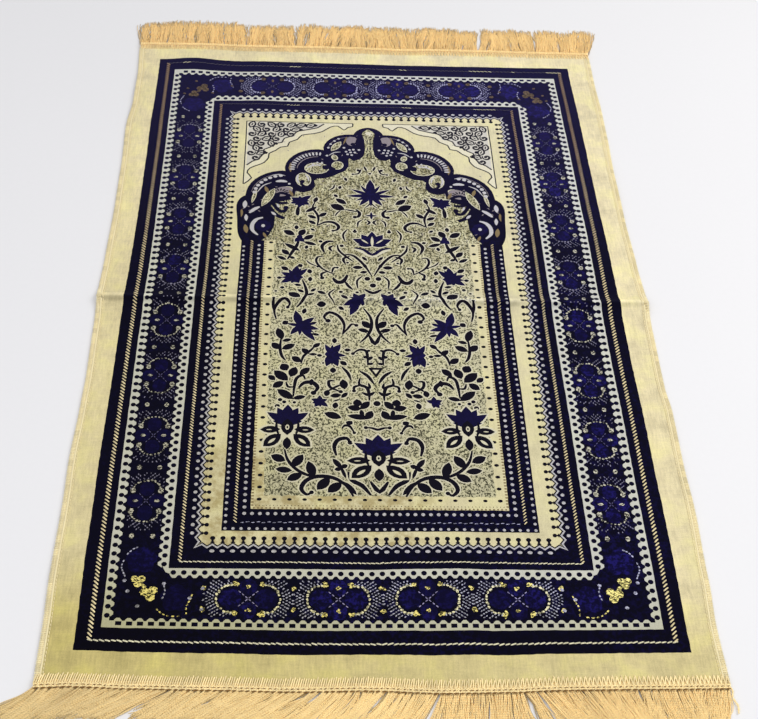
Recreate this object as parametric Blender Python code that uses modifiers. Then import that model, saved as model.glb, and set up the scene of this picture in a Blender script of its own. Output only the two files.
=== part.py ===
"""A velvet prayer rug lying on the floor, with a fringe along both ends.

Run it with: blender --background --python part.py
Metres, +Z up. The rug lies along Y, its far end (where the arch points) towards +Y, and its underside
rests on Z = 0. Every piece is first laid out flat and square, and settled() then gives each point its
place on the floor: the edges wander a little, and the cloth lifts at its crease and at a few bumps.
"""

import math
import random

import bmesh
import bpy
from mathutils import Vector

# The rug as cut
RUG_WIDTH = 0.700  # over both sewn side edges
CLOTH_LENGTH = 1.110  # between the two fringe headings
PILE_CLOTH_THICK = 0.0030
SEWN_GAP = 0.0003  # between pieces that are sewn together
CLOTH_SHIFT = 0.018  # the swept fringe reaches out to the left, so the cloth lies right of the middle

# Side edges, overcast with yarn
EDGE_WIDTH = 0.0060
CLOTH_HALF_WIDTH = RUG_WIDTH / 2 - EDGE_WIDTH - SEWN_GAP
EDGE_THICK = 0.0034
EDGE_ROUND = 0.0010

# Fringe
HEADING_WIDTH = 0.0090
HEADING_THICK = 0.0034
LOCKS = 108  # at each end
FRINGE_LENGTH = 0.060
LOCK_FILL = 0.66  # the share of its pitch that a lock takes up
LOCK_TIP_FILL = 0.42
ROOT_INSET = 0.0004
LOCK_ROOT_THICK = 0.0028
LOCK_TIP_THICK = 0.0016
LOCK_SEED = 11
LENGTH_SPREAD = 0.07  # how much the locks differ in length
DRAWN_IN = 0.13  # how far the locks between two partings draw together at their tips
LEAN_CURVE = 1.15  # a leaning lock leaves its heading straighter than it ends

# The cloth's grid: more rows near the crease
CLOTH_COLUMNS = 26
CLOTH_ROWS = 48
ROW_CROWDING = 1.5

# The crease left by folding the rug in half
CREASE_Y = -0.007
CREASE_HEIGHT = 0.0035
CREASE_REACH = 0.012

# Bumps: middle across and along, reach across and along, height
BUMPS = (
    {"x": -0.262, "y": 0.512, "reach_x": 0.036, "reach_y": 0.028, "height": 0.0050},
    {"x": -0.345, "y": 0.440, "reach_x": 0.030, "reach_y": 0.060, "height": 0.0018},
    {"x": 0.345, "y": 0.230, "reach_x": 0.030, "reach_y": 0.070, "height": 0.0022},
    {"x": 0.345, "y": -0.007, "reach_x": 0.050, "reach_y": 0.016, "height": 0.0020},
    {"x": 0.345, "y": -0.265, "reach_x": 0.025, "reach_y": 0.060, "height": 0.0015},
)

# How far the side edges stand out (+) or in (-) from straight, in millimetres
SIDE_FROM = 0.300  # the cloth inside this stays straight
SIDE_EDGES = (
    {"y": -0.557, "left": 1.0, "right": -2.0},
    {"y": -0.494, "left": 1.0, "right": -3.0},
    {"y": -0.431, "left": 2.5, "right": 0.0},
    {"y": -0.335, "left": 1.5, "right": 2.5},
    {"y": -0.274, "left": 2.5, "right": 1.0},
    {"y": -0.190, "left": 0.0, "right": 2.5},
    {"y": -0.148, "left": -1.0, "right": 0.0},
    {"y": -0.054, "left": 0.0, "right": 1.0},
    {"y": 0.001, "left": 2.0, "right": 2.5},
    {"y": 0.071, "left": 0.0, "right": 0.0},
    {"y": 0.166, "left": -1.5, "right": -2.5},
    {"y": 0.260, "left": -1.0, "right": -3.0},
    {"y": 0.354, "left": 1.5, "right": -0.5},
    {"y": 0.417, "left": -3.0, "right": 0.0},
    {"y": 0.480, "left": -3.0, "right": -1.5},
    {"y": 0.557, "left": 0.5, "right": -1.0},
)

# The same for the two ends
END_FROM = 0.400
END_EDGES = (
    {"x": -0.350, "near": 0.0, "far": 0.0},
    {"x": -0.310, "near": -1.5, "far": 1.0},
    {"x": -0.260, "near": 1.0, "far": 2.0},
    {"x": -0.180, "near": 2.5, "far": 0.0},
    {"x": -0.090, "near": 4.5, "far": 1.0},
    {"x": -0.020, "near": 3.0, "far": 1.0},
    {"x": 0.055, "near": 6.0, "far": -1.0},
    {"x": 0.115, "near": 5.0, "far": 1.0},
    {"x": 0.180, "near": 2.0, "far": 1.0},
    {"x": 0.260, "near": 1.0, "far": 0.0},
    {"x": 0.350, "near": 0.0, "far": 0.0},
)

# Which way the locks lie: degrees from straight out, + towards +X, and their length as a share
NEAR_LIE = (
    {"x": -0.350, "lean": -52.0, "length": 1.08},
    {"x": -0.235, "lean": -63.0, "length": 1.04},
    {"x": -0.205, "lean": -57.0, "length": 1.06},
    {"x": -0.080, "lean": -54.0, "length": 1.00},
    {"x": -0.040, "lean": -44.0, "length": 1.00},
    {"x": 0.045, "lean": -32.0, "length": 1.00},
    {"x": 0.070, "lean": -8.0, "length": 1.00},
    {"x": 0.130, "lean": 3.0, "length": 0.97},
    {"x": 0.165, "lean": 34.0, "length": 1.00},
    {"x": 0.250, "lean": 28.0, "length": 1.00},
    {"x": 0.290, "lean": 16.0, "length": 0.98},
    {"x": 0.350, "lean": 4.0, "length": 0.96},
)
FAR_LIE = (
    {"x": -0.350, "lean": -10.0, "length": 0.93},
    {"x": -0.300, "lean": -3.0, "length": 1.01},
    {"x": -0.200, "lean": 3.0, "length": 1.00},
    {"x": -0.150, "lean": -3.0, "length": 0.95},
    {"x": -0.070, "lean": 7.0, "length": 1.02},
    {"x": 0.020, "lean": -2.0, "length": 0.98},
    {"x": 0.100, "lean": 4.0, "length": 1.00},
    {"x": 0.160, "lean": 8.0, "length": 0.95},
    {"x": 0.240, "lean": -2.0, "length": 1.00},
    {"x": 0.300, "lean": 1.0, "length": 0.98},
    {"x": 0.350, "lean": 13.0, "length": 1.04},
)

# Where the floor shows between the locks
NEAR_PARTINGS = (-0.216, -0.062, -0.037, 0.054, 0.128, 0.275)
FAR_PARTINGS = (-0.185, -0.109, -0.051, 0.069, 0.178, 0.267)

ENDS = (
    {"name": "fringe_near", "side": -1, "lie": NEAR_LIE, "partings": NEAR_PARTINGS, "steps": 3},
    {"name": "fringe_far", "side": 1, "lie": FAR_LIE, "partings": FAR_PARTINGS, "steps": 2},
)

FINISHES = {
    "pile_velvet": {"colour": (0.56, 0.47, 0.24, 1.0), "roughness": 0.85},
    "edge_yarn": {"colour": (0.80, 0.62, 0.34, 1.0), "roughness": 0.75},
    "fringe_yarn": {"colour": (0.82, 0.60, 0.30, 1.0), "roughness": 0.60},
}


def eased(share):
    """A share from 0 to 1, starting and ending softly."""
    share = min(max(share, 0.0), 1.0)
    return share * share * (3.0 - 2.0 * share)


def read_off(rows, key, place, column):
    """The value of a table's column at a place between its rows."""
    for low, high in zip(rows, rows[1:]):
        if place <= high[key]:
            share = eased((place - low[key]) / (high[key] - low[key]))
            return low[column] + (high[column] - low[column]) * share
    return rows[-1][column]


def hump(distance, reach):
    return math.exp(-((distance / reach) ** 2))


def lift(x, y):
    """How far the cloth stands off the floor at a place of the flat rug."""
    height = CREASE_HEIGHT * hump(y - CREASE_Y, CREASE_REACH)
    for bump in BUMPS:
        height += bump["height"] * hump(x - bump["x"], bump["reach_x"]) * hump(y - bump["y"], bump["reach_y"])
    return height


def straight_between_columns(x, value):
    """A value that changes across the cloth, as its grid holds it: straight from one column to the next."""
    pitch = 2.0 * CLOTH_HALF_WIDTH / CLOTH_COLUMNS
    column = min(max(math.floor((x + CLOTH_HALF_WIDTH) / pitch), 0), CLOTH_COLUMNS - 1)
    low = column * pitch - CLOTH_HALF_WIDTH
    share = (x - low) / pitch
    return value(low) * (1.0 - share) + value(low + pitch) * share


def settled(point):
    """The place on the floor of a point of the flat rug."""
    x, y, z = point
    side = math.copysign(1.0, x)
    end = math.copysign(1.0, y)
    outwards = read_off(SIDE_EDGES, "y", y, "right" if side > 0 else "left") / 1000
    edge = "far" if end > 0 else "near"
    endwards = straight_between_columns(x, lambda place: read_off(END_EDGES, "x", place, edge)) / 1000
    outwards *= eased((abs(x) - SIDE_FROM) / (RUG_WIDTH / 2 - SIDE_FROM))
    endwards *= eased((abs(y) - END_FROM) / (CLOTH_LENGTH / 2 - END_FROM))
    return Vector((x + side * outwards + CLOTH_SHIFT, y + end * endwards, z + lift(x, y)))


def row_place(t):
    """The place along the cloth of a row of its grid, for t from 0 at the near end to 1 at the far end."""
    from_crease = 2.0 * t - 1.0
    end = math.copysign(CLOTH_LENGTH / 2, from_crease)
    return CREASE_Y + (end - CREASE_Y) * abs(from_crease) ** ROW_CROWDING


def finish(name):
    material = bpy.data.materials.new(name)
    material.use_nodes = True
    shader = material.node_tree.nodes["Principled BSDF"]
    shader.inputs["Base Color"].default_value = FINISHES[name]["colour"]
    shader.inputs["Roughness"].default_value = FINISHES[name]["roughness"]
    shader.inputs["Metallic"].default_value = 0.0
    return material


def add_piece(name, bm, material, collection):
    """Settles a flat piece on the floor and makes it an object."""
    for vertex in bm.verts:
        vertex.co = settled(vertex.co)
    mesh = bpy.data.meshes.new(name)
    bm.to_mesh(mesh)
    bm.free()
    mesh.materials.append(material)
    piece = bpy.data.objects.new(name, mesh)
    collection.objects.link(piece)
    return piece


def slab(columns, rows, x_place, y_place, thickness):
    """A flat closed slab whose columns and rows stand at the places that the two functions give."""
    bm = bmesh.new()
    bmesh.ops.create_grid(bm, x_segments=columns, y_segments=rows, size=0.5)
    for vertex in bm.verts:
        vertex.co = Vector((x_place(vertex.co.x + 0.5), y_place(vertex.co.y + 0.5), 0.0))
    raised = bmesh.ops.extrude_face_region(bm, geom=list(bm.faces))["geom"]
    top = [item for item in raised if isinstance(item, bmesh.types.BMVert)]
    bmesh.ops.translate(bm, verts=top, vec=(0.0, 0.0, thickness))
    bmesh.ops.recalc_face_normals(bm, faces=list(bm.faces))
    return bm


def add_cloth(materials, collection):
    bm = slab(
        CLOTH_COLUMNS, CLOTH_ROWS, lambda t: (2.0 * t - 1.0) * CLOTH_HALF_WIDTH, row_place, PILE_CLOTH_THICK
    )
    add_piece("rug_cloth", bm, materials["pile_velvet"], collection)


def add_sewn_edge(name, side, materials, collection):
    """The overcast edge along one side: a rounded strip beside the cloth."""
    outer = side * RUG_WIDTH / 2
    low = min(outer, outer - side * EDGE_WIDTH)
    bm = slab(1, CLOTH_ROWS, lambda t: low + t * EDGE_WIDTH, row_place, EDGE_THICK)
    edge = add_piece(name, bm, materials["edge_yarn"], collection)
    rounding = edge.modifiers.new("rounding", "BEVEL")
    rounding.width = EDGE_ROUND
    rounding.segments = 1
    rounding.limit_method = "ANGLE"
    rounding.angle_limit = math.radians(60)


def drawn_to(x, partings):
    """The middle of the group of locks that a place belongs to."""
    borders = (-RUG_WIDTH / 2, *partings, RUG_WIDTH / 2)
    low = max(border for border in borders if border <= x)
    high = min(border for border in borders if border > x)
    return (low + high) / 2


def draw_lock(bm, face, end, length_share):
    """Draws one lock out of a root face of the heading, lying on the floor."""
    root = face.calc_center_median()
    pitch = RUG_WIDTH / LOCKS
    lean = math.radians(read_off(end["lie"], "x", root.x, "lean"))
    length = FRINGE_LENGTH * read_off(end["lie"], "x", root.x, "length") * length_share
    across = Vector((math.cos(lean), -end["side"] * math.sin(lean)))
    pull = DRAWN_IN * (drawn_to(root.x, end["partings"]) - root.x)
    for step in range(1, end["steps"] + 1):
        t = step / end["steps"]
        face = bmesh.ops.extrude_discrete_faces(bm, faces=[face])["faces"][0]
        before = face.calc_center_median()
        middle = Vector((
            root.x + length * math.sin(lean) * t ** LEAN_CURVE + pull * t,
            root.y + end["side"] * length * math.cos(lean) * t,
        ))
        half = (LOCK_FILL + (LOCK_TIP_FILL - LOCK_FILL) * t) * pitch * math.cos(lean) / 2
        thick = LOCK_ROOT_THICK + (LOCK_TIP_THICK - LOCK_ROOT_THICK) * t
        for vertex in face.verts:
            sideways = math.copysign(half, vertex.co.x - before.x)
            height = thick if vertex.co.z > before.z else 0.0
            vertex.co = (*(middle + across * sideways), height)


def add_fringe(end, materials, collection):
    """One end's fringe: a narrow heading and the locks drawn out of it."""
    side = end["side"]
    inner = side * (CLOTH_LENGTH / 2 + SEWN_GAP)
    low = min(inner, inner + side * HEADING_WIDTH)
    bm = slab(LOCKS, 1, lambda t: (t - 0.5) * RUG_WIDTH, lambda t: low + t * HEADING_WIDTH, HEADING_THICK)
    roots = [face for face in bm.faces if face.normal.y * side > 0.9]
    bmesh.ops.inset_individual(bm, faces=roots, thickness=ROOT_INSET)
    spread = random.Random(LOCK_SEED + side)
    for face in sorted(roots, key=lambda f: f.calc_center_median().x):
        draw_lock(bm, face, end, 1.0 + LENGTH_SPREAD * (2.0 * spread.random() - 1.0))
    add_piece(end["name"], bm, materials["fringe_yarn"], collection)


def main():
    for old in list(bpy.data.objects):
        bpy.data.objects.remove(old, do_unlink=True)
    collection = bpy.data.collections.new("prayer_rug")
    bpy.context.scene.collection.children.link(collection)
    materials = {name: finish(name) for name in FINISHES}
    add_cloth(materials, collection)
    add_sewn_edge("edge_left", -1, materials, collection)
    add_sewn_edge("edge_right", 1, materials, collection)
    for end in ENDS:
        add_fringe(end, materials, collection)


main()
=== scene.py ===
"""The looks of a velvet prayer rug lying on a pale floor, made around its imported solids.

The rug's pieces are first laid out flat and square, and settled() gives each point its place on the floor.
The woven pattern is laid out in millimetres from the middle of the cloth, x to the right and y to the far
end. Where its halves match, only the left one is listed. The rest of the script is in metres.
"""

import math
import random

import bpy
from bpy.props import FloatProperty, FloatVectorProperty, IntProperty, PointerProperty
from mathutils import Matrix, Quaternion, Vector
from mathutils.geometry import delaunay_2d_cdt


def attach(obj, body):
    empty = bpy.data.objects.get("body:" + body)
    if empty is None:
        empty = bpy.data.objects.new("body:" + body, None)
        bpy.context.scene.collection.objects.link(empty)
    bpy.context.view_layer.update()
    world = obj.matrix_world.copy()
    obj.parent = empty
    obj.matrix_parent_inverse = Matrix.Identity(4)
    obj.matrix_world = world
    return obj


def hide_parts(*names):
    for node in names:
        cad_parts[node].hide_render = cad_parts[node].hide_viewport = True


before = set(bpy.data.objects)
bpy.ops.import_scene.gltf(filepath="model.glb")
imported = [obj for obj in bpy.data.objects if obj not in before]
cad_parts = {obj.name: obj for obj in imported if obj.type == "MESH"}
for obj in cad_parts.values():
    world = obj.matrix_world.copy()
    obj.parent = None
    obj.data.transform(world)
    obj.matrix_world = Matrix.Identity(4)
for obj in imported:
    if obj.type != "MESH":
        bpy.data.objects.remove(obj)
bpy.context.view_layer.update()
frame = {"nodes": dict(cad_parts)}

bl_info = {
    "name": "Velvet Prayer Rug",
    "version": (1, 0, 0),
    "blender": (4, 5, 0),
    "location": "3D View > Sidebar > Rug",
    "description": "Dresses the solids of a prayer rug with pile, pattern, sewing yarn and fringe",
    "category": "Object",
}

MM = 0.001


def table(columns, *rows):
    """Rows of numbers under named columns."""
    return [dict(zip(columns.split(), row)) for row in rows]


# The rug as cut, in metres
RUG_WIDTH = 0.700
CLOTH_LENGTH = 1.110
SEWN_GAP = 0.0003
EDGE_WIDTH = 0.0060
CLOTH_HALF_WIDTH = RUG_WIDTH / 2 - EDGE_WIDTH - SEWN_GAP
CLOTH_SHIFT = 0.018
CLOTH_COLUMNS = 26
HEADING_WIDTH = 0.0090

# How the cloth lies: its crease, its bumps and the wander of its edges
CREASE_Y = -0.007
CREASE_HEIGHT = 0.0035
CREASE_REACH = 0.012
FOLD_HEIGHT = 0.0012
FOLD_REACH = 0.0040
BUMPS = table("x y reach_x reach_y height",
    (-0.262, 0.512, 0.036, 0.028, 0.005), (-0.345, 0.44, 0.03, 0.06, 0.0018),
    (0.345, 0.23, 0.03, 0.07, 0.0022), (0.345, -0.007, 0.05, 0.016, 0.002),
    (0.345, -0.265, 0.025, 0.06, 0.0015),
)
SIDE_FROM = 0.300
SIDE_EDGES = table("y left right",
    (-0.557, 1, -2), (-0.494, 1, -3), (-0.431, 2.5, 0), (-0.335, 1.5, 2.5), (-0.274, 2.5, 1),
    (-0.19, 0, 2.5), (-0.148, -1, 0), (-0.054, 0, 1), (0.001, 2, 2.5), (0.071, 0, 0), (0.166, -1.5, -2.5),
    (0.26, -1, -3), (0.354, 1.5, -0.5), (0.417, -3, 0), (0.48, -3, -1.5), (0.557, 0.5, -1),
)
END_FROM = 0.400
END_EDGES = table("x near far",
    (-0.35, 0, 0), (-0.31, -1.5, 1), (-0.26, 1, 2), (-0.18, 2.5, 0), (-0.09, 4.5, 1), (-0.02, 3, 1),
    (0.055, 6, -1), (0.115, 5, 1), (0.18, 2, 1), (0.26, 1, 0), (0.35, 0, 0),
)

# How far the weave is drawn out of true, in mm: across by y, and along by x at the two ends
DRAWN_REACH = 0.300
DRAWN_TO = 0.318
DRAWN_ALONG_TO = 0.524
DRAWN_ACROSS = table("y left middle right along",
    (-0.5, -0.1, -1.5, -1, 0), (-0.4, -1.1, -1.6, -0.3, 0), (-0.3, -1.5, -1.6, -0.6, 0.2),
    (-0.2, -1.6, -1.5, -0.3, 1), (-0.1, -1.7, -1.7, -0.9, 1.3), (0, -1.3, -2, -0.7, 1.3),
    (0.06, -0.4, -1.4, -0.4, 1.5), (0.12, 0, -1, -0.2, 1.2), (0.2, 0, -1.2, -1.4, 1.2),
    (0.3, 0, -1.3, -2.1, 0.6), (0.4, -0.7, -2.2, -3.3, 0), (0.5, -0.9, -2.3, -4.7, 0),
)
DRAWN_FROM = 0.330
DRAWN_BLEND = 0.080
DRAWN_ALONG = table("x near far",
    (-0.3, -1, -1), (-0.24, -1, -2), (-0.2, -1, -0.5), (-0.16, -1, 1.2), (-0.11, -1, 0),
    (-0.02, -1.8, -1.2), (0.04, 0, -0.8), (0.08, 0.8, -1), (0.12, -0.3, -2), (0.2, -1, -1.2),
    (0.3, -0.5, 0.5),
)

# The fringe: how its locks lie (degrees from straight out, + towards +X) and where the floor shows
LOCKS = 108
FRINGE_LENGTH = 0.060
DRAWN_IN = 0.13
LEAN_CURVE = 1.15
NEAR_LIE = table("x lean length",
    (-0.35, -52, 1.08), (-0.235, -63, 1.04), (-0.205, -57, 1.06), (-0.08, -54, 1), (-0.04, -44, 1),
    (0.045, -32, 1), (0.07, -8, 1), (0.13, 3, 0.97), (0.165, 34, 1), (0.25, 28, 1), (0.29, 12, 0.98),
    (0.325, -2, 0.96), (0.35, -14, 0.96),
)
FAR_LIE = table("x lean length",
    (-0.35, -10, 0.93), (-0.3, -3, 1.01), (-0.2, 3, 1), (-0.15, -3, 0.95), (-0.07, 7, 1.02),
    (0.02, -2, 0.98), (0.1, 4, 1), (0.16, 8, 0.95), (0.24, -2, 1), (0.3, 1, 0.98), (0.35, 13, 1.04),
)
NEAR_PARTINGS = (-0.216, -0.062, -0.037, 0.054, 0.128, 0.275)
FAR_PARTINGS = (-0.185, -0.109, -0.051, 0.069, 0.178, 0.267)
ENDS = (
    {"name": "near", "side": -1, "lie": NEAR_LIE, "partings": NEAR_PARTINGS, "longest": 1.05, "frizz": 1.3},
    {"name": "far", "side": 1, "lie": FAR_LIE, "partings": FAR_PARTINGS, "longest": 1.14, "frizz": 0.0},
)

# ---- how the flat rug lies on the floor


def eased(share):
    """A share from 0 to 1, starting and ending softly."""
    share = min(max(share, 0.0), 1.0)
    return share * share * (3.0 - 2.0 * share)


def read_off(rows, key, place, column):
    """The value of a table's column at a place between its rows."""
    for low, high in zip(rows, rows[1:]):
        if place <= high[key]:
            share = eased((place - low[key]) / (high[key] - low[key]))
            return low[column] + (high[column] - low[column]) * share
    return rows[-1][column]


def hump(distance, reach):
    return math.exp(-((distance / reach) ** 2))


def lift(x, y):
    """How far the cloth stands off the floor at a place of the flat rug."""
    height = CREASE_HEIGHT * hump(y - CREASE_Y, CREASE_REACH) + FOLD_HEIGHT * hump(y - CREASE_Y, FOLD_REACH)
    for bump in BUMPS:
        across = hump(x - bump["x"], bump["reach_x"])
        height += bump["height"] * across * hump(y - bump["y"], bump["reach_y"])
    return height


COLUMN_PITCH = 2.0 * CLOTH_HALF_WIDTH / CLOTH_COLUMNS
END_AT_COLUMNS = {
    edge: [
        read_off(END_EDGES, "x", column * COLUMN_PITCH - CLOTH_HALF_WIDTH, edge) * MM
        for column in range(CLOTH_COLUMNS + 1)
    ]
    for edge in ("near", "far")
}


def end_wander(x, edge):
    """How far an end stands out, straight from one of the cloth's columns to the next."""
    column = min(max(math.floor((x + CLOTH_HALF_WIDTH) / COLUMN_PITCH), 0), CLOTH_COLUMNS - 1)
    share = (x + CLOTH_HALF_WIDTH) / COLUMN_PITCH - column
    values = END_AT_COLUMNS[edge]
    return values[column] * (1.0 - share) + values[column + 1] * share


def drawn(x, y):
    """How far the weave is drawn out of true at a place: across and along. It is true at the cloth's rim."""
    middle = read_off(DRAWN_ACROSS, "y", y, "middle")
    at_side = read_off(DRAWN_ACROSS, "y", y, "left" if x < 0 else "right")
    across = middle + (at_side - middle) * min(abs(x) / DRAWN_REACH, 1.0)
    along = read_off(DRAWN_ACROSS, "y", y, "along")
    at_end = read_off(DRAWN_ALONG, "x", x, "far" if y > 0 else "near")
    along += (at_end - along) * eased((abs(y) - DRAWN_FROM) / DRAWN_BLEND)
    free = 1.0 - eased((abs(x) - DRAWN_TO) / (CLOTH_HALF_WIDTH - DRAWN_TO))
    free *= 1.0 - eased((abs(y) - DRAWN_ALONG_TO) / (CLOTH_LENGTH / 2 - DRAWN_ALONG_TO))
    return across * free * MM, along * free * MM


def settled(x, y, z):
    """The place on the floor of a point of the flat rug."""
    across, along = drawn(x, y)
    x, y = x + across, y + along
    side = math.copysign(1.0, x)
    end = math.copysign(1.0, y)
    outwards = 0.0
    if abs(x) > SIDE_FROM:
        outwards = read_off(SIDE_EDGES, "y", y, "right" if side > 0 else "left") * MM
        outwards *= eased((abs(x) - SIDE_FROM) / (RUG_WIDTH / 2 - SIDE_FROM))
    endwards = 0.0
    if abs(y) > END_FROM:
        endwards = end_wander(x, "far" if end > 0 else "near")
        endwards *= eased((abs(y) - END_FROM) / (CLOTH_LENGTH / 2 - END_FROM))
    return x + side * outwards + CLOTH_SHIFT, y + end * endwards, z + lift(x, y)


# ---- flat outlines, in millimetres


def box(half_x, half_y):
    return rect(-half_x, -half_y, half_x, half_y)


def rect(x0, y0, x1, y1):
    return [(x0, y0), (x1, y0), (x1, y1), (x0, y1)]


def towards(degrees):
    """The x and y of a step of length 1 in a direction."""
    return math.cos(math.radians(degrees)), math.sin(math.radians(degrees))


def disc(x, y, radius, sides=8):
    return oval(x, y, radius, radius, 0, sides)


def oval(x, y, rx, ry, turn=0, sides=8):
    c, s = towards(turn)
    outline = []
    for i in range(sides):
        angle = math.tau * (i + 0.5) / sides
        u, v = rx * math.cos(angle), ry * math.sin(angle)
        outline.append((x + u * c - v * s, y + u * s + v * c))
    return outline


def lozenge(x, y, length, width, turn):
    """A short float of yarn: a slim six-sided dash."""
    c, s = towards(turn)
    half, side = length / 2, width / 2
    bend = half * 0.5
    shape = ((-half, 0), (-bend, -side), (bend, -side), (half, 0), (bend, side), (-bend, side))
    return [(x + u * c - v * s, y + u * s + v * c) for u, v in shape]


def leaf(x0, y0, x1, y1, width, spread=0, steps=5, pointed=0.75):
    """A pointed leaf from one end to the other. spread makes it larger all round."""
    length = math.hypot(x1 - x0, y1 - y0)
    u, v = (x1 - x0) / length, (y1 - y0) / length
    x0, y0, length = x0 - u * spread, y0 - v * spread, length + 2 * spread
    half = width / 2 + spread
    outline = []
    for side in (-1, 1):
        shares = [i / steps for i in range(steps)]
        if side > 0:
            shares = [1 - share for share in shares]
        for share in shares:
            off = side * half * math.sin(math.pi * share) ** pointed if 0 < share < 1 else 0
            outline.append((x0 + u * share * length - v * off, y0 + v * share * length + u * off))
    return outline


def smooth(points, steps=3):
    """A rounded line through the points."""
    line = []
    for i in range(len(points) - 1):
        a = points[max(i - 1, 0)]
        b, c = points[i], points[i + 1]
        d = points[min(i + 2, len(points) - 1)]
        for step in range(steps):
            t = step / steps
            line.append(tuple(
                0.5 * (2 * b[k] + (c[k] - a[k]) * t + (2 * a[k] - 5 * b[k] + 4 * c[k] - d[k]) * t * t
                       + (3 * b[k] - a[k] - 3 * c[k] + d[k]) * t * t * t)
                for k in (0, 1)
            ))
    line.append(tuple(points[-1]))
    return line


def ribbon(line, width, tips=(0.45, 0.45)):
    """A band of a width along a line, narrower at its two tips."""
    left, right = [], []
    last = len(line) - 1
    for i, (x, y) in enumerate(line):
        before, after = line[max(i - 1, 0)], line[min(i + 1, last)]
        u, v = after[0] - before[0], after[1] - before[1]
        length = math.hypot(u, v) or 1
        t = i / last
        share = tips[0] + (1 - tips[0]) * min(1, 3 * t)
        share = min(share, tips[1] + (1 - tips[1]) * min(1, 3 * (1 - t)))
        half = width * share / 2
        for side, rim in ((1, left), (-1, right)):
            px, py = x - side * v / length * half, y + side * u / length * half
            # inside a tight bend the rim would cross itself, so its points there are left out
            if all(math.hypot(px - qx, py - qy) > half * 0.97 for qx, qy in line):
                rim.append((px, py))
    return left + right[::-1]


def spaced(half, count):
    """Evenly spaced places from -half to half."""
    return [half * (2 * i / count - 1) for i in range(count + 1)]


def with_mirror(left, shared=0):
    """A line and its mirror image run back from its end. shared points on the axis aren't doubled."""
    return left + [(-x, y) for x, y in left[-1 - shared::-1]]


def arc(x, y, radius, start, end, steps):
    """Points along a round arc, from one angle to another, in degrees."""
    angles = [math.radians(start + (end - start) * i / steps) for i in range(steps + 1)]
    return [(x + radius * math.cos(a), y + radius * math.sin(a)) for a in angles]


def circle_through(a, b, c):
    """The centre and radius of the circle through three points."""
    d = 2 * (a[0] * (b[1] - c[1]) + b[0] * (c[1] - a[1]) + c[0] * (a[1] - b[1]))
    aa, bb, cc = (p[0] ** 2 + p[1] ** 2 for p in (a, b, c))
    x = (aa * (b[1] - c[1]) + bb * (c[1] - a[1]) + cc * (a[1] - b[1])) / d
    y = (aa * (c[0] - b[0]) + bb * (a[0] - c[0]) + cc * (b[0] - a[0])) / d
    return x, y, math.hypot(a[0] - x, a[1] - y)


def placed(outline, x, y, turn=0, stretch=(1, 1)):
    """An outline scaled, turned and moved to a place."""
    c, s = towards(turn)
    moved = []
    for u, v in outline:
        u, v = u * stretch[0], v * stretch[1]
        moved.append((x + u * c - v * s, y + u * s + v * c))
    return moved


def in_mirror(outlines, axes=("x",)):
    """The outlines and their mirror images."""
    made = list(outlines)
    if "x" in axes:
        made += [[(-x, y) for x, y in outline] for outline in made]
    if "y" in axes:
        made += [[(x, -y) for x, y in outline] for outline in made]
    return made


def ragged(outline, step, amount, seed):
    """The outline with its straight sides cut into short steps that wander a little."""
    wander = random.Random(seed)
    made = []
    for (x0, y0), (x1, y1) in zip(outline, outline[1:] + outline[:1]):
        length = math.hypot(x1 - x0, y1 - y0)
        count = max(1, round(length / step))
        made.append((x0, y0))
        for i in range(1, count):
            off = wander.uniform(-amount, amount)
            share = i / count
            made.append((
                x0 + (x1 - x0) * share - (y1 - y0) / length * off,
                y0 + (y1 - y0) * share + (x1 - x0) / length * off,
            ))
    return made


LONGEST_SIDE = 9


class Loom:
    """The pattern's outlines in the order they are woven, each over those before it.

    Long sides are cut into steps, so that the cloth can bend along them.
    """

    def __init__(self):
        self.outlines = []
        self.yarns = []

    def weave(self, yarn, outlines):
        for outline in outlines:
            area = sum(a[0] * b[1] - b[0] * a[1] for a, b in zip(outline, outline[1:] + outline[:1]))
            self.outlines.append(ragged(outline if area > 0 else outline[::-1], LONGEST_SIDE, 0, 0))
            self.yarns.append(yarn)

    def both(self, yarn, outlines):
        """Weaves the outlines and their mirror images across the rug's middle."""
        self.weave(yarn, in_mirror(outlines))

    def at(self, x, y, turn=0, stretch=(1, 1)):
        """A way to weave outlines laid out about their own middle, scaled, turned and moved to a place."""
        def put(yarn, outlines):
            self.weave(yarn, [placed(outline, x, y, turn, stretch) for outline in outlines])

        return put


# ---- the border

NAVY_BLOCK = (316.2, 521.9)
OUTER_LACE = {"flat": (291.3, 493.9), "line": (284, 485.6), "dots": (286.8, 488.6)}
INNER_LACE = {"flat": (227.4, 420.1), "line": (235.2, 428.2), "dots": (232.6, 425.4)}
LACE_PITCH = 11.15
LACE_HUMP = 3.5
LACE_DOT = 3.15
INNER_CORNER_CUT = 14
ZIGZAG = (199.6, 391)
ZIGZAG_SWING = 2.1
ZIGZAG_WHITE = 2.3
ZIGZAG_DARK = 1.9
CLUB_REACH = 8.8
CLUB_KNOB = 2.7
BEAD_OFF_ZIGZAG = 6


def opposite(half_x, half_y, place, along_x):
    """A place on two opposite sides of a border, with the angle that turns +y outwards."""
    if along_x:
        return (place, half_y, 0), (place, -half_y, 180)
    return (half_x, place, -90), (-half_x, place, 90)


def round_border(half_x, half_y, ends_gap, sides_gap):
    """Places evenly spaced along a border, at the pitch of its lace."""
    for span, along_x in ((half_x - ends_gap, True), (half_y - sides_gap, False)):
        for place in spaced(span, round(2 * span / LACE_PITCH)):
            yield from opposite(half_x, half_y, place, along_x)


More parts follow.
